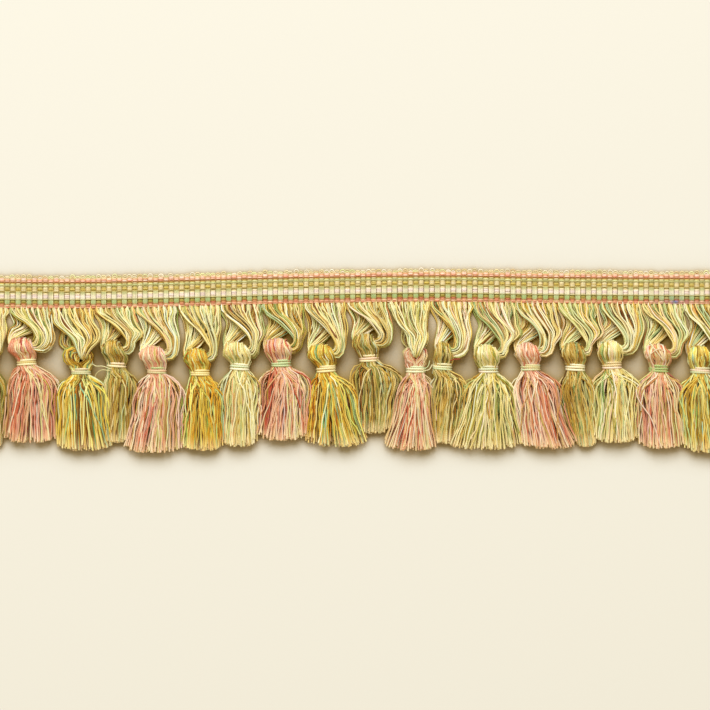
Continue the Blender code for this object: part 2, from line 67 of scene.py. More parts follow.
def along_band(x, table):
    """The value at x of a smooth curve through a table's values at even steps along the band."""
    steps = (np.asarray(x, float) - LAY_START) / LAY_STEP
    number = steps.astype(int)
    share = steps - number
    before, start, end, after = (table[number + place] for place in (-1, 0, 1, 2))
    slope, next_slope = (end - before) / 2, (after - start) / 2
    bend = 3 * (end - start) - 2 * slope - next_slope
    twist = 2 * (start - end) + slope + next_slope
    return start + share * (slope + share * (bend + share * twist))


def band_y(x):
    """The height of the band's middle line at x."""
    return along_band(x, BAND_LAY)


def pick_x(number):
    """Where a pick begins. Some picks are beaten closer than others."""
    x = -BAND_LENGTH / 2 + number * PICK
    return x + along_band(x, PICK_SLIP)


def dye(code):
    """The linear colour of a dye that is written as six hexadecimal digits."""
    shares = np.array([int(code[place : place + 2], 16) / 255 for place in (0, 2, 4)])
    return np.where(shares <= 0.04045, shares / 12.92, ((shares + 0.055) / 1.055) ** 2.4)


def ground_points():
    """Top and bottom points of the tape, column by column."""
    points = []
    for column in range(2 * PICK_COUNT + 1):
        x = pick_x(column / 2)
        top = GROUND_TOP if column % 2 else GROUND_VALLEY
        for place in GROUND_ROWS:
            z = GROUND_EDGE if abs(place) == BAND_HALF_HEIGHT else top
            points.append((x * MM, (band_y(x) + place) * MM, z * MM))
        for place in (BAND_HALF_HEIGHT, -BAND_HALF_HEIGHT):
            points.append((x * MM, (band_y(x) + place) * MM, 0.0))
    return points


def ground_faces():
    """Quads round the tape between each column and the next, and a face at each cut end."""
    around = len(GROUND_ROWS) + 2
    faces = []
    for column in range(2 * PICK_COUNT):
        near, far = column * around, (column + 1) * around
        for row in range(around):
            after = (row + 1) % around
            faces.append((near + row, far + row, far + after, near + after))
    last = 2 * PICK_COUNT * around
    faces.append(tuple(range(around)))
    faces.append(tuple(last + row for row in reversed(range(around))))
    return faces


def new_finish(name, roughness, shine):
    """A finish to build on, with its nodes, its links and its shader."""
    finish = bpy.data.materials.new(name)
    finish.use_nodes = True
    nodes = finish.node_tree.nodes
    shader = nodes["Principled BSDF"]
    shader.inputs["Roughness"].default_value = roughness
    shader.inputs["Specular IOR Level"].default_value = shine
    return finish, nodes, finish.node_tree.links, shader


def new_node(nodes, kind, **constants):
    """A shader node of this kind, with these constants set on its own sockets."""
    node = nodes.new(f"ShaderNode{kind}")
    for socket, value in constants.items():
        node.inputs[socket].default_value = value
    return node


def dye_mix(nodes, first, second):
    """A node that mixes two dyes."""
    mixed = new_node(nodes, "Mix")
    mixed.data_type = "RGBA"
    mixed.inputs["A"].default_value = (*dye(first), 1)
    mixed.inputs["B"].default_value = (*dye(second), 1)
    return mixed


def placed(name, data):
    """A new object of this name, put in the scene."""
    thing = bpy.data.objects.new(name, data)
    bpy.context.scene.collection.objects.link(thing)
    return thing


def shaded_ground_finish():
    """Matt ochre cloth with fine ribs, darker in patches where the weft is packed tighter. Its ochre is
    partly the cloth's own colour, partly painted shade for the depth between the floats.
    """
    finish, nodes, links, shader = new_finish("ground_cloth", 0.8, 0.2)
    shader.inputs["Sheen Weight"].default_value = 0.15
    place = new_node(nodes, "TexCoord")
    ribs = new_node(nodes, "TexWave", Scale=620.0, Distortion=1.5)
    ribs.wave_type, ribs.bands_direction = "BANDS", "Y"
    patches = new_node(nodes, "TexNoise", Scale=900.0)
    # Painted shade in part: both ochres are darker than the floats, for the shade seen down between
    # them.
    mixed = dye_mix(nodes, "C8A44C", "E8CE80")
    bump = new_node(nodes, "Bump", Strength=0.6, Distance=0.0002)
    links.new(place.outputs["Object"], ribs.inputs["Vector"])
    links.new(place.outputs["Object"], patches.inputs["Vector"])
    links.new(patches.outputs["Fac"], mixed.inputs["Factor"])
    links.new(mixed.outputs["Result"], shader.inputs["Base Color"])
    links.new(ribs.outputs["Fac"], bump.inputs["Height"])
    links.new(bump.outputs["Normal"], shader.inputs["Normal"])
    return finish


ground_mesh = bpy.data.meshes.new("band_ground")
ground_mesh.from_pydata(ground_points(), [], ground_faces())
ground_mesh.materials.append(shaded_ground_finish())
band_ground = placed("band_ground", ground_mesh)
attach(band_ground, "root")
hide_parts("heading")


# Warp floats: short stretches of plied cotton that rise over one pick each, line under line.
# Colours change with the line and from pick to pick, and so draw the band's stripes and checks.

YARN_SIDES = 4
PLY_PITCH = 1.6
STEEP = 0.8
FLOAT_STEPS = 6
FLOAT_DIP = 1.0
FLOAT_UNEVENNESS, DYE_UNEVENNESS = 0.04, 0.05

# One line of floats along the band: its place across the band, its yarn's radius, how far a float
# reaches as a share of a pick, its crown and dye over even picks, and any over odd ones.
Line = namedtuple("Line", "place radius reach even_crown even odd_crown odd", defaults=(None, None))
LINES = [
    Line(6.18, 0.32, 0.42, 1.60, "shell", 1.50, "flax"),
    Line(5.62, 0.35, 0.42, 2.00, "blossom", 1.80, "peach"),
    Line(5.06, 0.33, 0.42, 1.85, "blush", 1.90, "blossom"),
    Line(3.98, 0.31, 0.46, 1.75, "straw", 1.85, "barley"),
    Line(3.48, 0.30, 0.46, 1.80, "lime", 1.80, "leaf"),
    Line(2.70, 0.33, 0.46, 1.85, "oat", 1.70, "reed"),
    Line(2.20, 0.29, 0.46, 1.95, "cream", 1.75, "honey"),
    Line(1.70, 0.30, 0.46, 2.00, "cream", 1.80, "sun"),
    Line(1.20, 0.29, 0.46, 1.95, "cream", 1.55, "gold"),
    Line(0.80, 0.25, 0.46, 1.80, "barley"),
    Line(-0.26, 0.31, 0.48, 1.90, "butter"),
    Line(-0.84, 0.32, 0.48, 2.00, "powder"),
    Line(-1.42, 0.32, 0.48, 2.00, "lilac"),
    Line(-2.00, 0.32, 0.48, 1.95, "powder"),
    Line(-2.54, 0.32, 0.48, 1.90, "oat"),
    Line(-3.08, 0.28, 0.46, 1.70, "moss"),
    Line(-3.60, 0.29, 0.46, 1.80, "brass"),
    Line(-4.14, 0.29, 0.46, 1.75, "gold"),
    Line(-4.94, 0.33, 0.42, 1.85, "clay", 1.60, "ochre"),
    Line(-5.54, 0.34, 0.42, 1.95, "rose", 1.90, "peach"),
    Line(-6.16, 0.31, 0.42, 1.75, "peach", 1.80, "rose"),
]
Binder = namedtuple("Binder", "place crown dye")
BINDERS = [
    Binder(4.50, 1.60, "brick"),
    Binder(3.08, 1.95, "reed"),
    Binder(0.42, 1.60, "sedge"),
    Binder(-2.82, 2.00, "sedge"),
    Binder(-4.52, 1.60, "brick"),
]
BINDER_RADIUS, BINDER_WAVE = 0.17, 0.08
BAND_DYES = {
    "shell": ("F4D2AC", "EFC8A0", "F2CDB4"),
    "flax": ("E8CF9E", "EED8A8", "E2C492"),
    "blossom": ("F9CDB0", "F6C2A6", "FAD6BC"),
    "blush": ("F2B592", "EFA888", "F4C29E"),
    "peach": ("EBB892", "E6AC84", "EEC49C"),
    "rose": ("E2A27A", "DC9470", "E6AE86"),
    "clay": ("D08A5E", "CA7C54", "D29664"),
    "brick": ("B47844", "AC6E3E", "BC8450"),
    "ochre": ("CC9C60", "C8965C"),
    "straw": ("D4BC6A", "CAB05C"),
    "barley": ("D8C484", "D0B874", "DCCA90"),
    "lime": ("E4E4A6", "DCDE9C", "E8E6AE"),
    "leaf": ("D0CE92", "C6C88E", "D6D49A"),
    "oat": ("E6D8AC", "DED09E"),
    "honey": ("D6C074", "CEB868"),
    "cream": ("E6D29E", "E2CC90", "ECDAAA"),
    "sun": ("E6CC74", "DEC464"),
    "gold": ("BCA450", "B09840", "C4AC5C"),
    "butter": ("F2E2B0", "EEDCA6"),
    "powder": ("F3DFC9", "F0DCC5", "F5E3CF"),
    "lilac": ("F4DFD1", "F0DACD", "F5E1D4"),
    "moss": ("A49A4A", "AAA050", "9C9444"),
    "brass": ("C2B05A", "BAA850", "C8B662"),
    "sedge": ("A89A58", "B0A060"),
    "reed": ("C6BC7C", "BEB270", "CCC284"),
    "fern": ("C8C688", "C0BC7E", "D0CC92"),
    "ivory": ("F2E6C6", "EDE0BC", "F5EAD2"),
    "mint": ("C6D094", "BCCB8A", "CCD498"),
}
rng = np.random.default_rng(18)


def unit(vectors):
    """The same directions with a length of one."""
    return vectors / np.maximum(np.linalg.norm(vectors, axis=-1, keepdims=True), 1e-9)


def yarn_surface(paths, radius, dyes, sides=YARN_SIDES):
    """Rings, faces, ply places and dyes of round yarns that follow the paths, with closed ends."""
    count, steps = paths.shape[:2]
    along = unit(np.gradient(paths, axis=1))
    upright = np.where(np.abs(along[:, :1, 2:]) > STEEP, (1.0, 0.0, 0.0), (0.0, 0.0, 1.0))
    normal = np.empty_like(paths)
    normal[:, 0] = upright[:, 0]
    for step in range(steps):
        before = normal[:, max(step - 1, 0)]
        lean = (before * along[:, step]).sum(axis=-1, keepdims=True)
        normal[:, step] = unit(before - lean * along[:, step])
    turns = 2 * math.pi * np.arange(sides) / sides
    across = np.cos(turns)[:, None] * normal[:, :, None]
    across = across + np.sin(turns)[:, None] * np.cross(along, normal)[:, :, None]
    radius = np.broadcast_to(np.asarray(radius, float), (count, steps))
    points = (paths[:, :, None] + radius[:, :, None, None] * across).reshape(-1, 3)
    ring = np.arange(count * steps).reshape(count, steps)[:, :, None] * sides
    side, after = np.arange(sides), (np.arange(sides) + 1) % sides
    low, high = ring[:, :-1], ring[:, 1:]
    walls = np.stack([low + side, low + after, high + after, high + side], axis=-1)
    ends = np.concatenate([(ring[:, 0] + side)[:, ::-1], ring[:, -1] + side])
    lengths = np.linalg.norm(np.diff(paths, axis=1), axis=-1)
    run = np.concatenate([np.zeros((count, 1)), np.cumsum(lengths, axis=1)], axis=1) / PLY_PITCH
    around = np.stack([side, side + 1, side + 1, side], axis=-1) / sides
    places = np.empty((*walls.shape, 2))
    places[..., 0] = around
    places[..., :2, 1] = run[:, :-1, None, None]
    places[..., 2:, 1] = run[:, 1:, None, None]
    dyes = np.repeat(dyes.reshape(-1, 3), sides, axis=0)
    return points, walls.reshape(-1, 4), ends, places.reshape(-1, 2), dyes


def yarn_piece(name, surfaces, finish, nodes=()):
    """One piece of many yarns that share a finish, in the place of the named solids."""
    starts = np.cumsum([0] + [len(surface[0]) for surface in surfaces])
    points = np.concatenate([surface[0] for surface in surfaces]) * MM
    corners, sizes, places, smooth = [], [], [], []
    for start, (_, walls, ends, ply, _) in zip(starts, surfaces):
        corners += [(walls + start).ravel(), (ends + start).ravel()]
        sizes += [np.full(len(walls), 4), np.full(len(ends), ends.shape[1])]
        places += [ply, np.zeros((ends.size, 2))]
        smooth += [np.full(len(walls), True), np.full(len(ends), False)]
    corners, sizes = np.concatenate(corners), np.concatenate(sizes)
    mesh = bpy.data.meshes.new(name)
    mesh.vertices.add(len(points))
    mesh.vertices.foreach_set("co", points.ravel())
    mesh.loops.add(len(corners))
    mesh.loops.foreach_set("vertex_index", corners.astype(np.int32))
    mesh.polygons.add(len(sizes))
    mesh.polygons.foreach_set("loop_start", (np.cumsum(sizes) - sizes).astype(np.int32))
    mesh.polygons.foreach_set("use_smooth", np.concatenate(smooth))
    mesh.update(calc_edges=True)
    ply_map = mesh.uv_layers.new(name="ply")
    ply_map.uv.foreach_set("vector", np.concatenate(places).ravel())
    dyes = np.concatenate([surface[4] for surface in surfaces])
    dyed = mesh.color_attributes.new(name="dye", type="FLOAT_COLOR", domain="POINT")
    dyed.data.foreach_set("color", np.column_stack([dyes, np.ones(len(dyes))]).ravel())
    mesh.materials.append(finish)
    piece = placed(name, mesh)
    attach(piece, "root")
    if nodes:
        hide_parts(*nodes)
    return piece


def plied_yarn_group():
    """Two plies twisted round each other, with painted shade: the dye is drawn deeper and darker in
    their grooves.
    """
    group = bpy.data.node_groups.new("plied_yarn", "ShaderNodeTree")
    for name, way, kind in (
        ("Dye", "INPUT", "Color"),
        ("Groove Shade", "INPUT", "Float"),
        ("Fibre", "INPUT", "Float"),
        ("Colour", "OUTPUT", "Color"),
        ("Height", "OUTPUT", "Float"),
    ):
        group.interface.new_socket(name, in_out=way, socket_type=f"NodeSocket{kind}")
    nodes, links = group.nodes, group.links
    given, result = nodes.new("NodeGroupInput"), nodes.new("NodeGroupOutput")
    ply = new_node(nodes, "UVMap")
    ply.uv_map = "ply"
    split = new_node(nodes, "SeparateXYZ")
    links.new(ply.outputs["UV"], split.inputs["Vector"])

    def maths(operation, first, second):
        """One sum, on numbers or on what other nodes put out."""
        node = new_node(nodes, "Math")
        node.operation = operation
        for socket, value in zip(node.inputs, (first, second)):
            if isinstance(value, (int, float)):
                socket.default_value = value
            elif value is not None:
                links.new(value, socket)
        return node.outputs["Value"]

    twist = maths("MULTIPLY", maths("SUBTRACT", split.outputs["X"], split.outputs["Y"]), 2 * math.pi)
    crest = maths("ABSOLUTE", maths("COSINE", twist, None), None)
    round_crest = maths("POWER", crest, 0.6)
    fibres = new_node(nodes, "TexNoise", Scale=1.0, Detail=3.0)
    stretch = new_node(nodes, "CombineXYZ")
    fine = maths("MULTIPLY", maths("ADD", split.outputs["X"], split.outputs["Y"]), 14.0)
    links.new(fine, stretch.inputs["X"])
    links.new(maths("MULTIPLY", split.outputs["Y"], 1.3), stretch.inputs["Y"])
    links.new(stretch.outputs["Vector"], fibres.inputs["Vector"])
    # Painted shade: the share of groove between the plies' crests deepens and darkens the dye through
    # the Gamma node.
    groove_shade = maths("MULTIPLY", maths("SUBTRACT", 1.0, round_crest), given.outputs["Groove Shade"])
    streak = maths("MULTIPLY", maths("SUBTRACT", fibres.outputs["Fac"], 0.5), given.outputs["Fibre"])
    depth = maths("ADD", maths("ADD", 1.0, groove_shade), streak)
    shaded = new_node(nodes, "Gamma")
    links.new(given.outputs["Dye"], shaded.inputs["Color"])
    links.new(depth, shaded.inputs["Gamma"])
    links.new(shaded.outputs["Color"], result.inputs["Colour"])
    height = maths("ADD", round_crest, maths("MULTIPLY", fibres.outputs["Fac"], 0.25))
    links.new(height, result.inputs["Height"])
    return group


plied_yarn = plied_yarn_group()


def yarn_finish(name, groove_shade, fibre, roughness):
    """Mercerised cotton: dyed yarn with a soft shine along the crests of its plies and painted shade in
    their grooves.
    """
    finish, nodes, links, shader = new_finish(name, roughness, 0.25)
    shader.inputs["Sheen Weight"].default_value = 0.1
    shader.inputs["Sheen Roughness"].default_value = 0.4
    dyed = new_node(nodes, "Attribute")
    dyed.attribute_name = "dye"
    plies = new_node(nodes, "Group")
    plies.node_tree = plied_yarn
    # This sets how much painted shade darkens the dye in the ply grooves.
    plies.inputs["Groove Shade"].default_value = groove_shade
    plies.inputs["Fibre"].default_value = fibre
    bump = new_node(nodes, "Bump", Strength=0.48, Distance=0.00012)
    links.new(dyed.outputs["Color"], plies.inputs["Dye"])
    links.new(plies.outputs["Colour"], shader.inputs["Base Color"])
    links.new(plies.outputs["Height"], bump.inputs["Height"])
    links.new(bump.outputs["Normal"], shader.inputs["Normal"])
    return finish


def blend(start, end, share):
    """The value at a share of the way from start to end."""
    return start + (end - start) * share


MARK_X, MARK_PLACE, MARK_DYE = 141.3, -5.6, "5A8AC0"
# The mark and the faint halo round it, each with its half width, half height and strength.
MARK_SPREADS = [(1.7, 0.9, 0.75), (9.0, 3.2, 0.2)]


def marked(colours, x, place):
    """The colours with the blue mark that the band has at one spot near its right end."""
    share = 0
    for wide, high, strength in MARK_SPREADS:
        near = np.exp(-(((x - MARK_X) / wide) ** 2) - ((place - MARK_PLACE) / high) ** 2)
        share = np.maximum(share, strength * near)
    return blend(colours, dye(MARK_DYE), share[..., None])


def one_dye_each(names, steps):
    """A dye for each short float, picked from those of its name and a little lighter or darker."""
    picked = np.array([dye(rng.choice(BAND_DYES[name])) for name in names])
    picked = picked * rng.normal(1.0, DYE_UNEVENNESS, (len(names), 1))
    return np.repeat(picked[:, None], steps, axis=1)


def line_of_floats(line):
    """Arcs of yarn over each pick that this line floats over."""
    sweep = np.linspace(-1, 1, FLOAT_STEPS)
    paths, names = [], []
    for pick in range(PICK_COUNT):
        crown, name = (line.odd_crown, line.odd) if pick % 2 else (line.even_crown, line.even)
        if name is None:
            continue
        x = pick_x(pick + 0.5) + sweep * line.reach * PICK
        lift = np.cos(sweep * math.pi / 2) ** 0.5
        z = FLOAT_DIP + (crown - line.radius - FLOAT_DIP + rng.normal(0, FLOAT_UNEVENNESS)) * lift
        y = band_y(x) + line.place + rng.normal(0, FLOAT_UNEVENNESS)
        paths.append(np.column_stack([x, y, z]))
        names.append(name)
    paths = np.array(paths)
    dyes = marked(one_dye_each(names, FLOAT_STEPS), paths[..., 0], line.place)
    return yarn_surface(paths, line.radius, dyes)


def binding_warp(binder):
    """One thin warp that runs straight along the band between two stripes."""
    numbers = np.arange(1, 2 * PICK_COUNT) / 2
    x = pick_x(numbers)
    wave = np.cos(2 * numbers * math.pi)
    z = binder.crown - BINDER_RADIUS + BINDER_WAVE * wave
    path = np.column_stack([x, band_y(x) + binder.place, z])[None]
    return yarn_surface(path, BINDER_RADIUS, one_dye_each([binder.dye], len(x)))


band_finish = yarn_finish("band_cotton", groove_shade=0.3, fibre=0.6, roughness=0.6)
warp_floats = yarn_piece(
    "band_warp_floats",
    [line_of_floats(line) for line in LINES] + [binding_warp(binder) for binder in BINDERS],
    band_finish,
)


# Weft bars: on every other pick the weft's four yarns rise over the lower stripes as one upright
# bar. It is fern green at its upper end, ivory in the middle and mint green below.

BAR_YARNS = (-0.78, -0.26, 0.26, 0.78)
BAR_RADIUS = 0.29
BAR_CROWN = 1.9
BAR_TOP, BAR_IVORY, BAR_MINT, BAR_BOTTOM = 0.75, -0.65, -2.7, -5.2
BAR_FADE = 5
BAR_PINCH = 0.85
BAR_STEPS = 12


def weft_bars():
    """The yarns of every bar, each a little lighter or darker."""
    sweep = np.linspace(0, 1, BAR_STEPS)
    place = blend(BAR_TOP, BAR_BOTTOM, sweep)
    pale = 1 / (1 + np.exp((place - BAR_IVORY) * BAR_FADE))[:, None]
    minty = 1 / (1 + np.exp((place - BAR_MINT) * BAR_FADE))[:, None]
    paths, dyes = [], []
    for pick in range(1, PICK_COUNT, 2):
        fern, ivory, mint = (dye(rng.choice(BAND_DYES[name])) for name in ("fern", "ivory", "mint"))
        for offset in BAR_YARNS:
            arch = np.sin(sweep * math.pi)
            x = pick_x(pick + 0.5) + offset * blend(BAR_PINCH, 1.0, arch**0.5)
            z = blend(FLOAT_DIP, BAR_CROWN - BAR_RADIUS, arch**0.35)
            paths.append(np.column_stack([x, band_y(x) + place, z]))
            shades = fern + (ivory - fern) * pale + (mint - ivory) * minty
            dyes.append(marked(shades * rng.normal(1.0, DYE_UNEVENNESS), x, place))
    return yarn_surface(np.array(paths), BAR_RADIUS, np.array(dyes))


weft_piece = yarn_piece("band_weft_bars", [weft_bars()], band_finish)


# Picots: above the top cord each pick of the weft turns back in a small open loop. It is two
# yarns, one inside the other, of cream, flax or pale green, and hardly two loops are alike.

PICOT_STEPS = 8
PICOT_RADIUS = 0.23
PICOT_ROOT, PICOT_TOP = 5.9, 7.75
PICOT_REACH, PICOT_NARROWEST = 0.47, 0.4
PICOT_NESTS = (1.0, 0.55)
PICOT_SWAY, PICOT_UNEVENNESS = 0.15, 0.25
PICOT_Z, PICOT_ARCH, PICOT_NEST_RISE = 0.7, 0.6, 0.1
PICOT_DYES = ("ivory", "ivory", "butter", "cream", "oat", "lime", "flax")


def picot_loops():
    """Low arcs along the upper edge."""
    sweep = np.linspace(0, math.pi, PICOT_STEPS)
    paths, names = [], []
    for pick in range(PICK_COUNT):
        middle = pick_x(pick + 0.5) + rng.normal(0, PICOT_SWAY)
        height = PICOT_TOP - PICOT_RADIUS - PICOT_ROOT + rng.normal(0, PICOT_UNEVENNESS)
        for nest in PICOT_NESTS:
            x = middle - np.cos(sweep) * PICOT_REACH * PICK * blend(PICOT_NARROWEST, 1.0, nest)
            rise = np.sin(sweep) ** 0.7 * height * nest
            z = PICOT_Z + PICOT_ARCH * np.sin(sweep) + PICOT_NEST_RISE * nest
            paths.append(np.column_stack([x, band_y(x) + PICOT_ROOT + rise, z]))
            names.append(rng.choice(PICOT_DYES))
    return yarn_surface(np.array(paths), PICOT_RADIUS, one_dye_each(names, PICOT_STEPS))


picots = yarn_piece("picot_loops", [picot_loops()], band_finish)


# Skirt: loops of soft cotton that leave the band straight down, eight picks to a group. Each
# group swings to the right, passes through one tassel's folded head, and goes back up behind it.

# One tassel and its loops: its yarn, the side on which the loops enter the head, how far right of
# the neck they enter and bulge, how late their inner edge swings over, the neck's place and slope,
# and how far the head, the shoulders and the hem reach to the left and to the right of the neck.
Tassel = namedtuple(
    "Tassel",
    "yarn link entry bulge late neck_x neck_y slope head_left head_right"
    " shoulder_left shoulder_right hem_left hem_right hem_y",
)
TASSELS = [
    Tassel("sage", "side", 0.0, 8.0, 0.0, -154.0, -33.8, 0.03, 7.0, 3.6, 8.0, 7.6, 9.0, 6.5, -68.7),
    Tassel("rose", "side", 0.0, 11.4, 0.0, -137.0, -31.9, 0.10, 8.0, 3.3, 7.0, 11.6, 9.8, 12.0, -66.1),
    Tassel("gold", "front", 1.2, 8.8, 0.0, -113.6, -35.8, 0.05, 8.2, 5.4, 9.8, 9.6, 10.0, 12.2, -69.5),
    Tassel("sage", "side", 0.0, 11.5, 0.0, -98.4, -33.0, -0.02, 6.6, 3.3, 5.0, 7.8, 5.0, 5.0, -66.1),
    Tassel("rose", "side", 0.0, 10.5, 0.12, -81.1, -35.4, 0.02, 7.3, 3.7, 8.6, 10.0, 13.4, 10.2, -70.4),
    Tassel("gold", "side", 0.0, 7.6, 0.16, -62.6, -36.4, 0.04, 6.9, 3.4, 6.2, 8.6, 7.4, 9.2, -69.5),
    Tassel("sage", "side", 0.0, 10.3, 0.0, -45.6, -33.8, -0.03, 7.3, 4.2, 7.4, 8.0, 7.0, 7.0, -67.8),
    Tassel("rose", "side", 0.0, 11.0, 0.04, -27.8, -32.3, 0.08, 7.6, 4.6, 8.2, 11.0, 10.0, 10.4, -65.2),
    Tassel("gold", "side", 0.0, 8.6, 0.10, -8.6, -34.7, 0.10, 8.2, 3.3, 5.6, 10.0, 7.6, 17.0, -67.8),
    Tassel("sage", "side", 0.0, 9.9, 0.03, 9.9, -30.2, 0.10, 7.4, 3.3, 7.2, 12.2, 5.0, 8.4, -62.2),
    Tassel("rose", "front", 0.0, 4.6, 0.0, 29.9, -34.9, 0.02, 6.0, 5.0, 6.4, 6.6, 12.2, 9.0, -69.5),
    Tassel("gold", "side", 0.0, 12.0, 0.02, 41.3, -33.8, -0.02, 3.4, 4.4, 3.8, 9.4, 3.4, 5.4, -66.5),
    Tassel("sage", "side", 0.0, 14.1, 0.08, 61.1, -34.9, 0.05, 6.5, 4.4, 9.4, 9.8, 16.4, 13.8, -69.1),
    Tassel("rose", "side", 0.0, 13.3, 0.04, 79.1, -34.1, 0.04, 7.0, 3.8, 7.0, 11.2, 3.2, 20.0, -68.7),
    Tassel("gold", "side", 0.0, 11.6, 0.12, 98.3, -34.1, -0.02, 6.5, 4.4, 6.4, 7.4, -0.5, 9.0, -67.8),
    Tassel("sage", "side", 0.0, 12.5, 0.05, 114.0, -33.2, 0.08, 6.2, 4.5, 7.2, 10.2, 8.6, 11.2, -66.1),
    Tassel("rose", "side", 0.0, 13.6, 0.02, 134.0, -34.6, 0.00, 6.4, 5.0, 8.4, 9.0, 7.4, 11.0, -68.7),
    Tassel("gold", "side", 0.0, 11.4, 0.08, 151.8, -35.4, 0.02, 5.6, 4.6, 7.6, 8.4, 5.8, 10.8, -70.4),
]

GROUP = PICKS_PER_TASSEL * PICK
LOOPS_PER_PICK = 6
LOOPS_PER_GROUP = PICKS_PER_TASSEL * LOOPS_PER_PICK
LOOP_RADIUS = 0.31
LOOP_STEPS = 40
LOOP_LAYERS = (-0.9, 0.5, -0.4, 0.9, 0.0, -0.7)
GROUP_MARGIN = 0.15
ROOT_DROP, ROOT_SWING, ROOT_SPREAD, ROOT_LAYER = 1.4, 0.25, 0.28, 0.25
# Drops below the band's edge, and heights, at which loops leave it and come back to it behind.
FRONT_ROOTS = [(-1.2, 0.75), (0.2, 1.2), (ROOT_DROP, 1.6)]
BACK_ROOTS = [(ROOT_DROP, 0.75), (-1.0, 0.6)]
EYE_RISE, EYE_Z = 6.4, 4.5
BUNDLE_HALF_WIDTH, BUNDLE_HALF_DEPTH = 1.7, 1.5
BUNDLE_RIGHT, BUNDLE_LEFT = 0.6, 1.6
FAN_FULLNESS, FAN_LIMIT = 1.25, 1.5
END_ROOM, HEAD_ROOM = 1.0, 2.2
# How closely the loops of one pick keep together at the root, and then ribbon by ribbon.
ROOT_HOLD, RIBBON_HOLDS = 0.3, (0.35, 0.3, 0.2, 0.15, 0.1, 0.0)
# How unevenly loops lie: their layers, how far loops lean and picks rise from ribbon to ribbon,
# and their places behind. Then how far loops and whole picks wander, and how often.
LAYER_SPREAD, LEAN_SPREAD, FIRST_RISE, NEXT_RISE, BACK_SPREAD = 0.2, 0.05, 0.35, 0.2, 0.08
LOOP_WANDERS, LOCK_WANDERS = (0.35, 4.0), (0.5, 2.0)
LOOPS_PER_LENGTH = 2
SHARED_DYE, DYE_SLIDE, DYE_SPREAD = 0.5, 0.6, 0.3
LOOP_DYES = [
    ("F4EDBD", 0.22), ("F4E19D", 0.22), ("E6CC7A", 0.12), ("C5983E", 0.10),
    ("D6D99D", 0.14), ("B7C48B", 0.07), ("F4D9B9", 0.09), ("F4F3D5", 0.04),
]
# Painted shade: how much deeper and darker the dye of the lowest loops is drawn, for the shade of the
# loops above them.
UNDER_SHADE_DEPTH = 1.75

# A fan of loops on its way down, as shares across from the group's edge (0) to the head or the
# bulge (1) and down from the roots (0) to the eye (1).
Fan = namedtuple(
    "Fan", "inner_across inner_down inner_z outer_across outer_down outer_z half_depth"
)
SIDE_FAN = [
    Fan(0.24, 0.16, 2.6, 0.12, 0.18, 2.2, 0.5),
    Fan(0.62, 0.32, 4.2, 0.50, 0.40, 3.3, 0.6),
    Fan(0.95, 0.55, 5.4, 0.90, 0.60, 4.3, 0.65),
]
FRONT_FAN = [
    Fan(0.12, 0.20, 3.0, 0.35, 0.20, 3.0, 0.5),
    Fan(0.40, 0.42, 5.4, 0.95, 0.44, 5.4, 0.6),
    Fan(0.72, 0.62, 7.2, 0.80, 0.64, 7.2, 0.6),
]
BACK_FAN = Fan(0.85, 0.38, 0.9, 0.15, 0.32, 0.9, 0.45)
# The turn back into the head: quarter ellipses about the head's right edge, the outermost loops
# on the larger one.
Turn = namedtuple("Turn", "angle inner_z outer_z half_depth")
SIDE_TURNS = [
    Turn(5, 5.8, 4.3, 0.75),
    Turn(-28, 5.5, 4.3, 0.85),
    Turn(-58, 5.1, 4.2, 0.95),
]
INNER_TURN_WIDTH, INNER_TURN_TOP, INNER_TURN_DROP = 0.9, 4.2, 2.4
OUTER_TURN_TOP, OUTER_TURN_DROP = 3.0, 5.2
# Where loops come out behind, from the head's left edge and above its eye.
Leave = namedtuple("Leave", "inner_x inner_rise outer_x outer_rise z half_depth")
SIDE_LEAVES = [
    Leave(2.4, 3.1, 0.2, 2.6, 3.2, 0.8),
    Leave(5.6, 4.4, 0.6, 6.8, 1.8, 0.6),
]
# Where loops pass through a head from its front, from its eye, and how wide and deep they lie.
Through = namedtuple("Through", "x rise z half_width depth_y depth_z")
FRONT_TURN = Through(0.3, 3.6, 8.4, 2.6, 0.0, 0.6)
FRONT_BUNDLE = [
    Through(0.0, 0.9, 8.0, 1.7, -0.9, 0.9),
    Through(0.0, 0.0, 4.6, 1.7, -1.3, 0.0),
    Through(0.0, 0.6, 1.3, 1.7, -0.6, -0.6),
]
FRONT_LEAVE = Through(-0.4, 4.6, 0.9, 4.4, 0.0, -0.5)
FRONT_BACK_HALF_WIDTH, FRONT_BACK_SWING, FRONT_LEAVE_SWING = 5.6, 3.4, 1.2
END_STEP = 0.25


def smooth_paths(stations, steps, closer=0.0):
    """Smooth paths through stations, an array of places by yarn by axis.

    The steps are even, or closer together half-way along by the share given. A short one at each
    end keeps the shading of the cut clean.
    """
    chords = np.diff(stations, axis=0)
    gaps = np.linalg.norm(chords, axis=2).mean(axis=1)
    knots = np.concatenate([[0], np.cumsum(gaps)])
    spans = gaps[:, None, None]
    slopes = chords / spans
    inner = (slopes[:-1] * spans[1:] + slopes[1:] * spans[:-1]) / (spans[1:] + spans[:-1])
    slopes = np.concatenate([slopes[:1], inner, slopes[-1:]])
    sweep = np.linspace(0, 1, steps - 2)
    sweep = sweep + closer * np.sin(2 * math.pi * sweep) / (2 * math.pi)
    places = blend(END_STEP, knots[-1] - END_STEP, sweep)
    places = np.concatenate([[0], places, [knots[-1]]])
    span = np.clip(np.searchsorted(knots, places, side="right") - 1, 0, len(gaps) - 1)
    share = ((places - knots[span]) / gaps[span])[:, None, None]
    width = gaps[span][:, None, None]
    path = (2 * share**3 - 3 * share**2 + 1) * stations[span]
    path += (share**3 - 2 * share**2 + share) * width * slopes[span]
    path += (3 * share**2 - 2 * share**3) * stations[span + 1]
    path += (share**3 - share**2) * width * slopes[span + 1]
    return path.transpose(1, 0, 2)


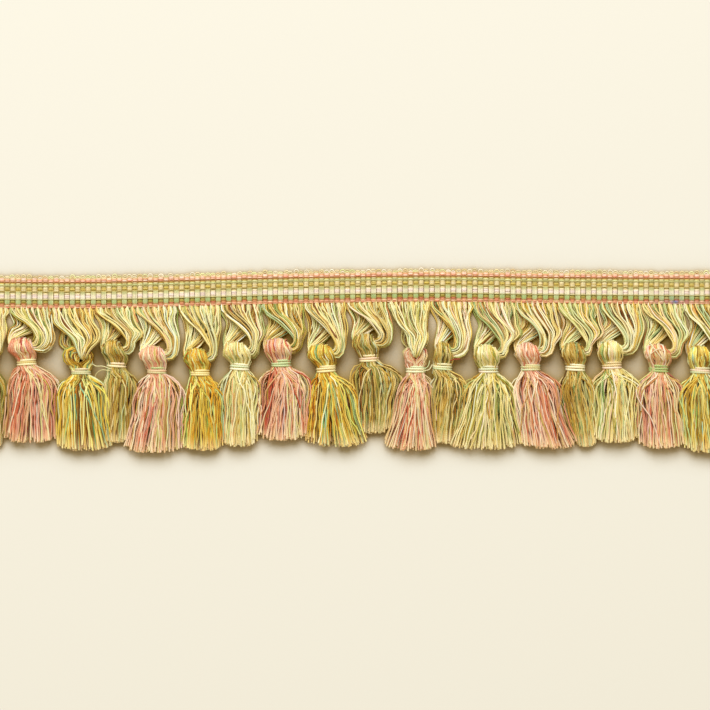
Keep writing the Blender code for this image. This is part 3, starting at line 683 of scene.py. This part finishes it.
def wandered(paths, reach, waves, rng, lock=None):
    """Paths that wander a little sideways and up, and still begin and end where they did.

    The yarns of one lock, where locks are given, wander together.
    """
    if lock is None:
        lock = np.arange(len(paths))
    count = lock.max() + 1
    sweep = np.linspace(0, 1, paths.shape[1])
    calm = np.sin(sweep * math.pi) ** 0.5
    along = unit(np.gradient(paths, axis=1))
    aside = unit(np.cross(along, (0.0, 0.0, 1.0)))
    for direction, share in ((aside, 1.0), (np.array((0.0, 0.0, 1.0)), 0.5)):
        phase = rng.uniform(0, 2 * math.pi, (count, 1))[lock]
        often = waves * rng.uniform(0.7, 1.3, (count, 1))[lock]
        size = reach * share * rng.uniform(0.3, 1.0, (count, 1))[lock]
        wave = size * np.sin(phase + 2 * math.pi * often * sweep) * calm
        paths = paths + wave[..., None] * direction
    return paths


def space_dyed(locks, steps, dyes, slide, rng):
    """Dyes along yarns. Each has one main dye and slides towards another and back.

    Most yarns of a lock come off one dyed length and share its main dye.
    """
    count = len(locks)
    codes, weights = zip(*dyes)
    weights = np.array(weights) / sum(weights)
    colours = np.array([dye(code) for code in codes])
    shared = colours[rng.choice(len(codes), max(locks) + 1, p=weights)][locks]
    main = colours[rng.choice(len(codes), count, p=weights)]
    main = np.where(rng.random((count, 1)) < SHARED_DYE, shared, main)
    other = colours[rng.choice(len(codes), count, p=weights)]
    sweep = np.linspace(0, 1, steps)
    phase = rng.uniform(0, 2 * math.pi, (count, 1))
    often = rng.uniform(0.8, 2.2, (count, 1))
    share = slide * (0.5 + 0.5 * np.sin(phase + 2 * math.pi * often * sweep))
    depth = np.exp(rng.normal(0, DYE_SPREAD, (count, 1, 1)))
    return blend(main[:, None], other[:, None], share[..., None]) ** depth


def ribbon(inner, outer, half_depth):
    """Middle, half width and half depth of a ribbon of loops between its two edges."""
    inner, outer = np.array(inner), np.array(outer)
    return (inner + outer) / 2, (outer - inner) / 2, np.array((0.0, 0.0, half_depth))


def fan_ribbon(row, inner, outer, root, eye_y, late=0.0):
    """One ribbon of a fan. late is how much later than usual its inner edge swings over."""
    inner_y = blend(root, eye_y, row.inner_down + late * row.inner_across)
    inner_point = (blend(*inner, row.inner_across), inner_y, row.inner_z)
    outer_point = (blend(*outer, row.outer_across), blend(root, eye_y, row.outer_down), row.outer_z)
    return ribbon(inner_point, outer_point, row.half_depth)


def through_ribbon(row, eye_x, eye_y):
    """One ribbon of the loops that pass through a head from its front."""
    across, depth = (row.half_width, 0.0, 0.0), (0.0, row.depth_y, row.depth_z)
    return np.array((eye_x + row.x, eye_y + row.rise, row.z)), np.array(across), np.array(depth)


def front_route(tassel, edges, root, eye_y):
    """The ribbons and the bundle of loops that enter a head from its front."""
    left, right = edges
    eye_x = tassel.neck_x + tassel.entry
    bulge = tassel.neck_x + tassel.bulge
    front = [fan_ribbon(row, (left, eye_x), (right, bulge), root, eye_y) for row in FRONT_FAN]
    front.append(through_ribbon(FRONT_TURN, eye_x, eye_y))
    bundle = [through_ribbon(row, eye_x, eye_y) for row in FRONT_BUNDLE]
    y = blend(root, eye_y, BACK_FAN.outer_down)
    back_x = eye_x - FRONT_BACK_SWING * tassel.entry
    ends = [(back_x + side * FRONT_BACK_HALF_WIDTH, y, BACK_FAN.outer_z) for side in (-1, 1)]
    leave = through_ribbon(FRONT_LEAVE, blend(eye_x, back_x, FRONT_LEAVE_SWING), eye_y)
    return front, bundle, [leave, ribbon(*ends, -BACK_FAN.half_depth)]


def side_route(number, tassel, edges, root, eye_y):
    """The ribbons and the bundle of loops that swing round a head and enter it from its side."""
    left, right = edges
    bulge = tassel.neck_x + tassel.bulge
    head_right, head_left = tassel.neck_x + tassel.head_right, tassel.neck_x - tassel.head_left
    next_left = BAND_LENGTH / 2 + END_ROOM
    if number + 1 < TASSEL_COUNT:
        next_left = TASSELS[number + 1].neck_x - TASSELS[number + 1].head_left
    low_bulge = min(bulge, next_left - HEAD_ROOM)
    inner, outer = (left, head_right), (right, bulge)
    front = [fan_ribbon(row, inner, outer, root, eye_y, tassel.late) for row in SIDE_FAN]
    for row in SIDE_TURNS:
        over, down = math.cos(math.radians(row.angle)), math.sin(math.radians(row.angle))
        inner_y = eye_y + INNER_TURN_TOP + INNER_TURN_DROP * down
        outer_y = eye_y + OUTER_TURN_TOP + OUTER_TURN_DROP * down
        inner = (head_right + INNER_TURN_WIDTH * over, inner_y, row.inner_z)
        outer = (blend(head_right, low_bulge, over), outer_y, row.outer_z)
        front.append(ribbon(inner, outer, row.half_depth))
    upper, lower = eye_y + BUNDLE_HALF_WIDTH, eye_y - BUNDLE_HALF_WIDTH
    bundle = [
        ribbon((x, upper, EYE_Z), (x, lower, EYE_Z), BUNDLE_HALF_DEPTH)
        for x in (head_right - BUNDLE_RIGHT, tassel.neck_x, head_left + BUNDLE_LEFT)
    ]
    back = []
    for row in SIDE_LEAVES:
        inner = (head_left + row.inner_x, eye_y + row.inner_rise, row.z)
        outer = (head_left + row.outer_x, eye_y + row.outer_rise, row.z)
        back.append(ribbon(inner, outer, row.half_depth))
    back.append(fan_ribbon(BACK_FAN, (left, right), (left, right), root, eye_y))
    return front, bundle, back


def loop_paths(number, tassel, rng):
    """Every loop of a group from its front root, through the head and up to its back root."""
    left = -BAND_LENGTH / 2 + number * GROUP + GROUP_MARGIN
    width = GROUP - 2 * GROUP_MARGIN
    root = band_y(tassel.neck_x) - BAND_HALF_HEIGHT - ROOT_DROP
    eye_y = tassel.neck_y + EYE_RISE
    order = np.linspace(-1, 1, LOOPS_PER_GROUP)
    lock = np.arange(LOOPS_PER_GROUP) // LOOPS_PER_PICK
    lock_middle = (2 * lock + 1) / PICKS_PER_TASSEL - 1
    layer = np.tile(LOOP_LAYERS, PICKS_PER_TASSEL) + rng.normal(0, LAYER_SPREAD, LOOPS_PER_GROUP)
    if tassel.link == "front":
        front, bundle, back = front_route(tassel, (left, left + width), root, eye_y)
    else:
        front, bundle, back = side_route(number, tassel, (left, left + width), root, eye_y)
    stations = []
    for drop, z in FRONT_ROOTS:
        x = left + width * (blend(order, lock_middle, ROOT_HOLD) + 1) / 2
        height = z + ROOT_LAYER * layer
        if drop == ROOT_DROP:
            x = x + rng.normal(ROOT_SWING, ROOT_SPREAD, LOOPS_PER_GROUP)
        stations.append(np.column_stack([x, band_y(x) - BAND_HALF_HEIGHT - drop, height]))
    lean, rise = np.zeros(LOOPS_PER_GROUP), rng.normal(0, FIRST_RISE, PICKS_PER_TASSEL)[lock]
    for (middle, across, depth), hold in zip(front, RIBBON_HOLDS):
        lean = lean + rng.normal(0, LEAN_SPREAD, LOOPS_PER_GROUP)
        lean = lean + rng.normal(0, LEAN_SPREAD, PICKS_PER_TASSEL)[lock]
        rise = rise + rng.normal(0, NEXT_RISE, PICKS_PER_TASSEL)[lock]
        place = blend(order, lock_middle, hold) + lean
        lift = FAN_FULLNESS * np.clip(layer + rise, -FAN_LIMIT, FAN_LIMIT)
        stations.append(middle + place[:, None] * across + lift[:, None] * depth)
    for middle, across, depth in bundle:
        place = order * np.sqrt(1 - np.clip(layer, -1, 1) ** 2 / 2)
        lift = layer * np.sqrt(1 - order**2 / 2)
        stations.append(middle + place[:, None] * across + lift[:, None] * depth)
    for middle, across, depth in back:
        place = order + rng.normal(0, BACK_SPREAD, LOOPS_PER_GROUP)
        stations.append(middle + place[:, None] * across + layer[:, None] * depth)
    mirror = -1 if tassel.link == "side" else 1
    for drop, z in BACK_ROOTS:
        x = left + width * (mirror * order + 1) / 2
        height = np.full(LOOPS_PER_GROUP, z)
        stations.append(np.column_stack([x, band_y(x) - BAND_HALF_HEIGHT - drop, height]))
    paths = smooth_paths(np.array(stations), LOOP_STEPS)
    paths = wandered(wandered(paths, *LOCK_WANDERS, rng, lock), *LOOP_WANDERS, rng)
    paths[..., 2] = np.maximum(paths[..., 2], LOOP_RADIUS)
    return paths


loop_finish = yarn_finish("loop_cotton", groove_shade=0.9, fibre=1.0, roughness=0.5)
for number, tassel in enumerate(TASSELS):
    rng = np.random.default_rng(200 + number)
    paths = loop_paths(number, tassel, rng)
    lengths = np.arange(LOOPS_PER_GROUP) // LOOPS_PER_LENGTH
    dyes = space_dyed(lengths, LOOP_STEPS, LOOP_DYES, DYE_SLIDE, rng)
    upper = np.clip(np.tile(LOOP_LAYERS, PICKS_PER_TASSEL) + 0.5, 0, 1)
    # Painted shade: loops in the lower layers get deeper, darker dye.
    dyes = dyes ** blend(UNDER_SHADE_DEPTH, 1.0, upper)[:, None, None]
    node = f"skirt_{number + 1:02d}"
    surface = yarn_surface(paths, LOOP_RADIUS, dyes)
    yarn_piece(f"skirt_loops_{number + 1:02d}", [surface], loop_finish, [node])


# Tassels: a hank of plied cotton folded over the group's loops. It is bound round its neck and
# cut off square below, and its strands lie over each other and splay out on the table.

# How far out in the hank the strands of each layer lie, as a share, and how many there are.
HANK_LAYERS = [(0.98, 44), (0.86, 32), (0.62, 16)]
STRAND_RADIUS = 0.31
TIP_RADIUS = 0.37
STRAND_STEPS = {"side": 40, "front": 48}
STRAND_CLOSER = {"side": 0.0, "front": 0.35}
STRANDS_PER_LOCK = 4
# Painted shade: how much deeper and darker the dye of the innermost strands is drawn, for the shade
# inside the hank.
INNER_SHADE_DEPTH = 2.4
BACK_SHORTER, CORNER_RISE, END_SPREAD, LONGEST_END = 0.8, 1.8, 1.3, 0.3
STRAY_SHARE, STRAY_LAYER, STRAY_DRIFT = 0.45, 1.1, 0.8
GATHERED, INNER_REACH = 0.4, 0.25
# How unevenly strands lie round the hank, and in which layer, how full single strands and locks
# are at the fold, and how far both drift at the hem. Then how far they wander, and how often.
PLACE_SPREAD, DEPTH_SPREAD = 0.03, 0.06
LOCK_FULLNESS, STRAND_FULLNESS = 0.08, 0.04
STRAND_DRIFT, LOCK_DRIFT = 0.25, 0.16
STRAND_WANDERS, HANK_WANDERS = (0.55, 8.0), (0.6, 3.0)
OUTERMOST = 0.97
EYE_RADIUS, FRONT_EYE_RADIUS, HEAD_THICKNESS = 2.4, 1.7, 2.0
LOBE_Z, LOBE_HALF_DEPTH, LOBE_FULLNESS, LOBE_FOOT = 4.6, 2.6, 1.9, 0.88
HEAD_TURNS = {"side": (0, 45, 90, 135, 180), "front": (-15, 18, 50, 90, 130, 162, 195)}
# How much the head draws in at its top on the left and on the right, and how it thins at its edges.
TOP_LEFT, TOP_RIGHT, HEAD_SHARE = 0.2, 0.4, 0.96
EDGE_POWER, EDGE_DROP, EDGE_THINNING = 2.5, 0.2, {"side": 0.7, "front": 0.25}
NECK_Z = 3.45
# Rings round the neck: how far above its middle, half width and half depth.
NECK_RINGS = [(2.7, 4.6, 3.2), (0.0, 3.2, 2.35), (-2.4, 4.2, 2.9)]

# The loose hank below the neck: how far down, how much of the way to the full shoulder or, past
# it, to the hem, how high it stands, how much its middle strands still keep together, and how far
# its locks have come loose.
Girth = namedtuple("Girth", "drop shoulder hem top close loose")
GIRTHS = [
    Girth(3.8, 0.78, 0.0, 6.0, 1.6, 0.2),
    Girth(6.2, 1.0, 0.0, 6.5, 1.6, 0.45),
    Girth(None, 0.0, 0.45, 5.8, 1.2, 0.8),
    Girth(None, 0.0, 1.0, 4.6, 1.0, 1.0),
]
TIP_DYE, TIP_STEPS, TIP_FADE = "FBE6B8", 3, 0.75
# Tassels that lie under their neighbours, and how much flatter they are. Their strands take the darker
# moss dyes as painted shade, for the shade the neighbours cast.
LOW_SHADED_TASSELS, LOW_SHARE = (0, 3, 9, 11, 14), 0.3
# Hanks whose dyes are drawn deeper (over 1) or paler (under 1) than the rest, by number.
HANK_DEPTH = {4: 0.87, 5: 1.2, 7: 1.07, 8: 0.94, 10: 1.1, 13: 0.92, 16: 1.06, 17: 0.88}
YARN_DYES = {
    # Moss: darker dyes that paint in shade on the tassels that lie under their neighbours.
    "moss": [
        ("DFC26D", 0.24), ("BF9635", 0.16), ("B9B267", 0.20), ("9FB076", 0.08),
        ("ECD38B", 0.20), ("99771F", 0.12),
    ],
    "rose": [
        ("F0C7A4", 0.24), ("E8B08C", 0.20), ("DA8664", 0.13), ("F6E4BE", 0.22),
        ("E6E0A0", 0.08), ("C8AC50", 0.06), ("DCB4A4", 0.07),
    ],
    "gold": [
        ("DFB034", 0.22), ("EDCD5B", 0.24), ("F7EE94", 0.18), ("AD8717", 0.16),
        ("CEDA92", 0.12), ("ADD5B2", 0.04), ("F7F4BE", 0.04),
    ],
    "sage": [
        ("EADA96", 0.22), ("F5E6A5", 0.26), ("CBCC86", 0.17), ("F7F0C2", 0.15),
        ("D5B457", 0.09), ("F3D0A3", 0.08), ("B7CC92", 0.03),
    ],
}

# Loose threads that stand off the hanks: a tassel's number, a dye, and where the thread runs.
Thread = namedtuple("Thread", "number dye points")
THREAD_RADIUS, THREAD_STEPS = 0.2, 16
THREADS = [
    Thread(16, "F8EBC8", [
        (129.6, -23.0, 8.6), (131.4, -25.6, 9.5), (133.4, -28.2, 9.4), (135.6, -31.0, 8.4)
    ]),
    Thread(16, "F2D9B6", [
        (128.6, -30.2, 7.4), (131.0, -27.4, 9.3), (133.6, -26.0, 9.5), (136.4, -27.2, 8.2)
    ]),
    Thread(11, "B84A3C", [(44.6, -31.0, 7.0), (46.6, -30.4, 8.6), (48.8, -30.3, 8.4)]),
    Thread(10, "D8DCA8", [(33.2, -34.8, 5.4), (35.0, -33.6, 5.8), (35.9, -31.0, 5.2)]),
    Thread(10, "EFE4B6", [(33.2, -35.4, 5.4), (35.6, -34.8, 5.6), (37.0, -32.6, 4.8)]),
    Thread(3, "F0E6B4", [
        (-100.6, -34.6, 6.4), (-104.0, -33.4, 6.2), (-107.4, -33.2, 5.2), (-109.2, -31.8, 4.6)
    ]),
    Thread(3, "E4D8A0", [
        (-101.0, -35.4, 6.0), (-104.4, -35.0, 5.6), (-106.8, -36.4, 4.4), (-107.8, -38.6, 3.6)
    ]),
]


def thread_surface(thread):
    """One loose thread as a thin smooth yarn."""
    path = smooth_paths(np.array(thread.points)[:, None], THREAD_STEPS)
    dyes = np.broadcast_to(dye(thread.dye), path.shape)
    return yarn_surface(path, THREAD_RADIUS, dyes)


def hank_middle(tassel, drop):
    """A place on the neck's own line, above (negative drop) or below its middle."""
    lean = math.atan(tassel.slope)
    return np.array((
        tassel.neck_x + drop * math.sin(lean), tassel.neck_y - drop * math.cos(lean), NECK_Z
    ))


def neck_station(tassel, rise, half_width, half_depth, turn, layer):
    """Strands round the neck. turn is each one's angle, from the right over the front."""
    lean = math.atan(tassel.slope)
    x = half_width * layer * np.cos(turn)
    z = half_depth * layer * np.sin(turn)
    middle = hank_middle(tassel, -rise)
    return middle + np.column_stack([x * math.cos(lean), x * math.sin(lean), z])


def head_station(tassel, turn, order, layer):
    """Strands over the folded head, at a turn in degrees round the loops that pass through it."""
    angle = math.radians(turn)
    if tassel.link == "side":
        left = tassel.head_left * (1.0 - TOP_LEFT * math.sin(angle))
        right = tassel.head_right * (1.0 - TOP_RIGHT * math.sin(angle))
        half = (left + right) / 2
        middle = np.array((tassel.neck_x + (right - left) / 2, tassel.neck_y + EYE_RISE, EYE_Z))
        across, front = np.array((1.0, 0, 0)), np.array((0, 0, 1.0))
        eye, thickness = EYE_RADIUS, HEAD_THICKNESS
    else:
        half = LOBE_HALF_DEPTH
        middle = np.array((tassel.neck_x + tassel.entry, tassel.neck_y + EYE_RISE, LOBE_Z))
        across, front = np.array((0, 0, 1.0)), np.array((-1.0, 0, 0))
        lobe = tassel.head_left + tassel.entry if turn < 90 else tassel.head_right - tassel.entry
        eye = FRONT_EYE_RADIUS
        thickness = blend(lobe - eye, HEAD_THICKNESS, max(math.sin(angle), 0) ** LOBE_FULLNESS)
        if math.sin(angle) < 0:
            thickness *= LOBE_FOOT
    radial = front * math.cos(angle) + np.array((0, 1.0, 0)) * math.sin(angle)
    edge = np.abs(order) ** EDGE_POWER
    rise = eye * (1 - EDGE_DROP * edge) + thickness * layer * (1 - EDGE_THINNING[tassel.link] * edge)
    return middle + np.outer(order * half * HEAD_SHARE, across) + np.outer(rise, radial)


def hank_station(tassel, girth, turn, layer, short, flatter):
    """Strands of the loose hank, the front ones in a crown and the back ones on the table."""
    hem_drop = tassel.neck_y - tassel.hem_y
    drop = girth.drop
    left, right = tassel.shoulder_left * girth.shoulder, tassel.shoulder_right * girth.shoulder
    if drop is None:
        drop = blend(GIRTHS[1].drop, hem_drop, 1.0 if girth.hem == 1.0 else 0.5)
        left = blend(tassel.shoulder_left, tassel.hem_left, girth.hem)
        right = blend(tassel.shoulder_right, tassel.hem_right, girth.hem)
    half = (left + right) / 2
    split = girth.top / 2 * (1 - flatter * (girth.drop is None))
    down = split - STRAND_RADIUS
    height = np.where(np.sin(turn) > 0, split, down) * np.sin(turn) * layer
    across = np.cos(turn)
    across = np.sign(across) * np.abs(across) ** girth.close * blend(INNER_REACH, 1.0, layer)
    x = tassel.neck_x + (right - left) / 2 + half * across
    y = np.full(len(x), tassel.neck_y - drop)
    if girth.hem == 1.0:
        y += short + np.where(np.sin(turn) < 0, BACK_SHORTER, 0.0) + CORNER_RISE * np.abs(across) ** 3
    return np.column_stack([x, np.broadcast_to(y, x.shape), split + height])


def front_order(count):
    """Strands of a hank that is folded from side to side, closer where they lie in front."""
    even = np.linspace(-OUTERMOST, OUTERMOST, count)
    return np.sign(even) * np.sqrt(1 - (1 - np.abs(even)) ** 2)


STRAND_ORDER = {
    "side": np.concatenate([np.linspace(-OUTERMOST, OUTERMOST, count) for _, count in HANK_LAYERS]),
    "front": np.concatenate([front_order(count) for _, count in HANK_LAYERS]),
}
STRAND_LAYER = np.concatenate([np.full(count, depth) for depth, count in HANK_LAYERS])
STRAND_LOCK = np.arange(len(STRAND_LAYER)) // STRANDS_PER_LOCK


def strand_paths(tassel, flatter, rng):
    """Each folded strand from one cut end, up over the head and down to the other."""
    order, layer, lock = STRAND_ORDER[tassel.link], STRAND_LAYER, STRAND_LOCK
    strands = len(order)
    fold_layer = layer if tassel.link == "side" else rng.uniform(0.0, 1.0, strands)
    order = np.clip(order + rng.normal(0, PLACE_SPREAD, strands), -1, 1)
    starts = (90, 270) if tassel.link == "side" else (180, 0)
    lock_count = lock.max() + 1
    middles = np.array([order[lock == one].mean() for one in range(lock_count)])
    gathered = blend(order, middles[lock], GATHERED)
    puff = 1 + rng.normal(0, LOCK_FULLNESS, lock_count)[lock] + rng.normal(0, STRAND_FULLNESS, strands)
    stations = []
    for sign, start in zip((-1, 1), starts):
        turn = math.radians(start) + sign * np.arcsin(order)
        loose_turn = math.radians(start) + sign * np.arcsin(gathered)
        stray = (layer > 0.9) & (rng.random(strands) < STRAY_SHARE)
        drift = rng.normal(0, STRAND_DRIFT, strands) + rng.normal(0, LOCK_DRIFT, lock_count)[lock]
        drift = drift + stray * rng.normal(0, STRAY_DRIFT, strands)
        depth = np.clip(layer + rng.normal(0, DEPTH_SPREAD, strands), 0.2, 1.0)
        depth = np.where(stray, STRAY_LAYER, depth)
        short = np.abs(rng.normal(0, END_SPREAD, strands)) - LONGEST_END
        leg = [neck_station(tassel, *ring, turn, layer) for ring in NECK_RINGS]
        for girth in GIRTHS:
            swung = blend(turn, loose_turn, girth.loose) + drift * girth.loose
            leg.append(hank_station(tassel, girth, swung, depth, short, flatter))
        stations.append(leg)
    puffed = fold_layer * puff if tassel.link == "side" else np.minimum(fold_layer * puff, 1.0)
    head = [head_station(tassel, turn, gathered, puffed) for turn in HEAD_TURNS[tassel.link]]
    stations = np.array(stations[0][::-1] + head + stations[1])
    path = smooth_paths(stations, STRAND_STEPS[tassel.link], STRAND_CLOSER[tassel.link])
    path = wandered(wandered(path, *HANK_WANDERS, rng, lock), *STRAND_WANDERS, rng)
    path[..., 2] = np.maximum(path[..., 2], STRAND_RADIUS)
    return path


def with_pale_tips(dyes):
    """The same dyes, paler towards both cut ends."""
    steps = np.arange(dyes.shape[1])
    from_end = np.minimum(steps, steps[::-1])
    share = np.clip(1 - from_end / TIP_STEPS, 0, 1)[None, :, None] * TIP_FADE
    return blend(dyes, dye(TIP_DYE), share)


tassel_finish = yarn_finish("tassel_cotton", groove_shade=1.0, fibre=1.2, roughness=0.5)
for number, tassel in enumerate(TASSELS):
    rng = np.random.default_rng(500 + number)
    low = number in LOW_SHADED_TASSELS
    paths = strand_paths(tassel, LOW_SHARE if low else 0.0, rng)
    steps = paths.shape[1]
    # Tassels that lie under their neighbours take the moss dyes as painted shade.
    dyes = space_dyed(STRAND_LOCK, steps, YARN_DYES["moss" if low else tassel.yarn], DYE_SLIDE, rng)
    dyes = dyes ** HANK_DEPTH.get(number, 1.0)
    # Painted shade: strands in the inner layers get deeper, darker dye.
    dyes = with_pale_tips(dyes ** blend(INNER_SHADE_DEPTH, 1.0, STRAND_LAYER[:, None, None]))
    node = f"tassel_{number + 1:02d}"
    radius = np.full(steps, STRAND_RADIUS)
    radius[[0, 1, -2, -1]] = TIP_RADIUS
    surfaces = [yarn_surface(paths, radius, dyes)]
    surfaces += [thread_surface(thread) for thread in THREADS if thread.number == number]
    yarn_piece(f"tassel_strands_{number + 1:02d}", surfaces, tassel_finish, [node])


# Ties: two or three turns of thicker cotton, wound round each tassel's neck and pulled tight. Each
# begins and ends behind the neck, where its ends are tucked in.

TIE_RADIUS, TIE_SIDES = 0.5, 7
TIE_HALF_WIDTH, TIE_HALF_DEPTH = 3.85, 2.95
TIE_TURNS, SHORT_TIE, SHORT_TIE_TURNS = 2.6, 3, 1.6
TIE_STEPS_PER_TURN = 16
TIE_WAVE, TIE_SLIDE = 0.14, 0.9
TIE_DYES = [("F6E8B8", 0.4), ("CDD6A0", 0.25), ("F3D4B4", 0.2), ("DCC47C", 0.15)]


def tie_path(tassel, turns, rng):
    """A winding that begins and ends behind the neck."""
    steps = int(TIE_STEPS_PER_TURN * turns)
    turn = np.linspace(-0.5 * math.pi, (2 * turns - 0.5) * math.pi, steps)
    rise = np.linspace(-0.5, 0.5, steps) * 2 * TIE_RADIUS * turns
    rise = rise + TIE_WAVE * np.sin(turn * 0.7 + rng.uniform(0, 2 * math.pi))
    lean = math.atan(tassel.slope)
    x, z = TIE_HALF_WIDTH * np.cos(turn), TIE_HALF_DEPTH * np.sin(turn)
    offset = np.column_stack([
        x * math.cos(lean) - rise * math.sin(lean), x * math.sin(lean) + rise * math.cos(lean), z
    ])
    return hank_middle(tassel, 0.0) + offset


tie_finish = yarn_finish("tie_cotton", groove_shade=0.9, fibre=0.8, roughness=0.5)
for number, tassel in enumerate(TASSELS):
    rng = np.random.default_rng(800 + number)
    path = tie_path(tassel, SHORT_TIE_TURNS if number == SHORT_TIE else TIE_TURNS, rng)[None]
    dyes = space_dyed([0], path.shape[1], TIE_DYES, TIE_SLIDE, rng)
    surface = yarn_surface(path, TIE_RADIUS, dyes, TIE_SIDES)
    node = f"tie_{number + 1:02d}"
    yarn_piece(f"tie_winding_{number + 1:02d}", [surface], tie_finish, [node])


# Table: the plain pale surface that the trim lies on. Painted shade: it turns warm brown where the
# yarns are close and hide it, for their shadow and the warm light they throw on it.

TABLE_SIZE = 4.0


def table_finish_painted_shade():
    """Pale matt paint with painted shade: warm brown beside the yarns, where they hide it."""
    finish, nodes, links, shader = new_finish("table_with_painted_shade", 0.9, 0.1)
    # Painted shade: how much nearby yarns occlude the table mixes in a dark warm brown.
    near = new_node(nodes, "AmbientOcclusion", Distance=0.0125)
    clear = new_node(nodes, "Math")
    clear.operation = "POWER"
    clear.inputs[1].default_value = 1.6
    painted_shade_tone = dye_mix(nodes, "A07C08", "DFD9CB")
    links.new(near.outputs["AO"], clear.inputs[0])
    links.new(clear.outputs["Value"], painted_shade_tone.inputs["Factor"])
    links.new(painted_shade_tone.outputs["Result"], shader.inputs["Base Color"])
    return finish


table_mesh = bpy.data.meshes.new("table_top")
half = TABLE_SIZE / 2
table_mesh.from_pydata(
    [(-half, -half, 0), (half, -half, 0), (half, half, 0), (-half, half, 0)], [], [(0, 1, 2, 3)]
)
table_mesh.materials.append(table_finish_painted_shade())
table_top = placed("table_top", table_mesh)


# Light: an even pale room, and one wide soft lamp far beyond the band's upper edge. It shines down
# at about 45 degrees, so soft shadows fall towards the hems.

room = bpy.data.worlds.new("pale_room")
bpy.context.scene.world = room
room.use_nodes = True
room.node_tree.nodes["Background"].inputs["Color"].default_value = (1.0, 0.87, 0.56, 1)
room.node_tree.nodes["Background"].inputs["Strength"].default_value = 0.56

lamp_data = bpy.data.lights.new("soft_lamp", "AREA")
lamp_data.shape = "RECTANGLE"
lamp_data.size, lamp_data.size_y = 2.4, 2.0
lamp_data.energy = 131.0
lamp_data.color = (0.78, 0.86, 1.0)
soft_lamp = placed("soft_lamp", lamp_data)
soft_lamp.location = (-0.3, 2.0, 2.2)
soft_lamp.rotation_euler = (math.radians(-42), 0, 0)
bpy.context.scene.view_settings.view_transform = "Standard"


# Camera: straight above the trim, far off with a long lens, so that hardly any side of a tassel
# is seen. Both ends of the row run out of the picture.

camera_data = bpy.data.cameras.new("camera")
camera_data.lens, camera_data.sensor_width = 150.0, 36.0
camera_data.clip_start, camera_data.clip_end = 0.1, 20.0
camera = placed("camera", camera_data)
camera.location = (0.00387, -0.0286, 1.272)
bpy.context.scene.camera = camera
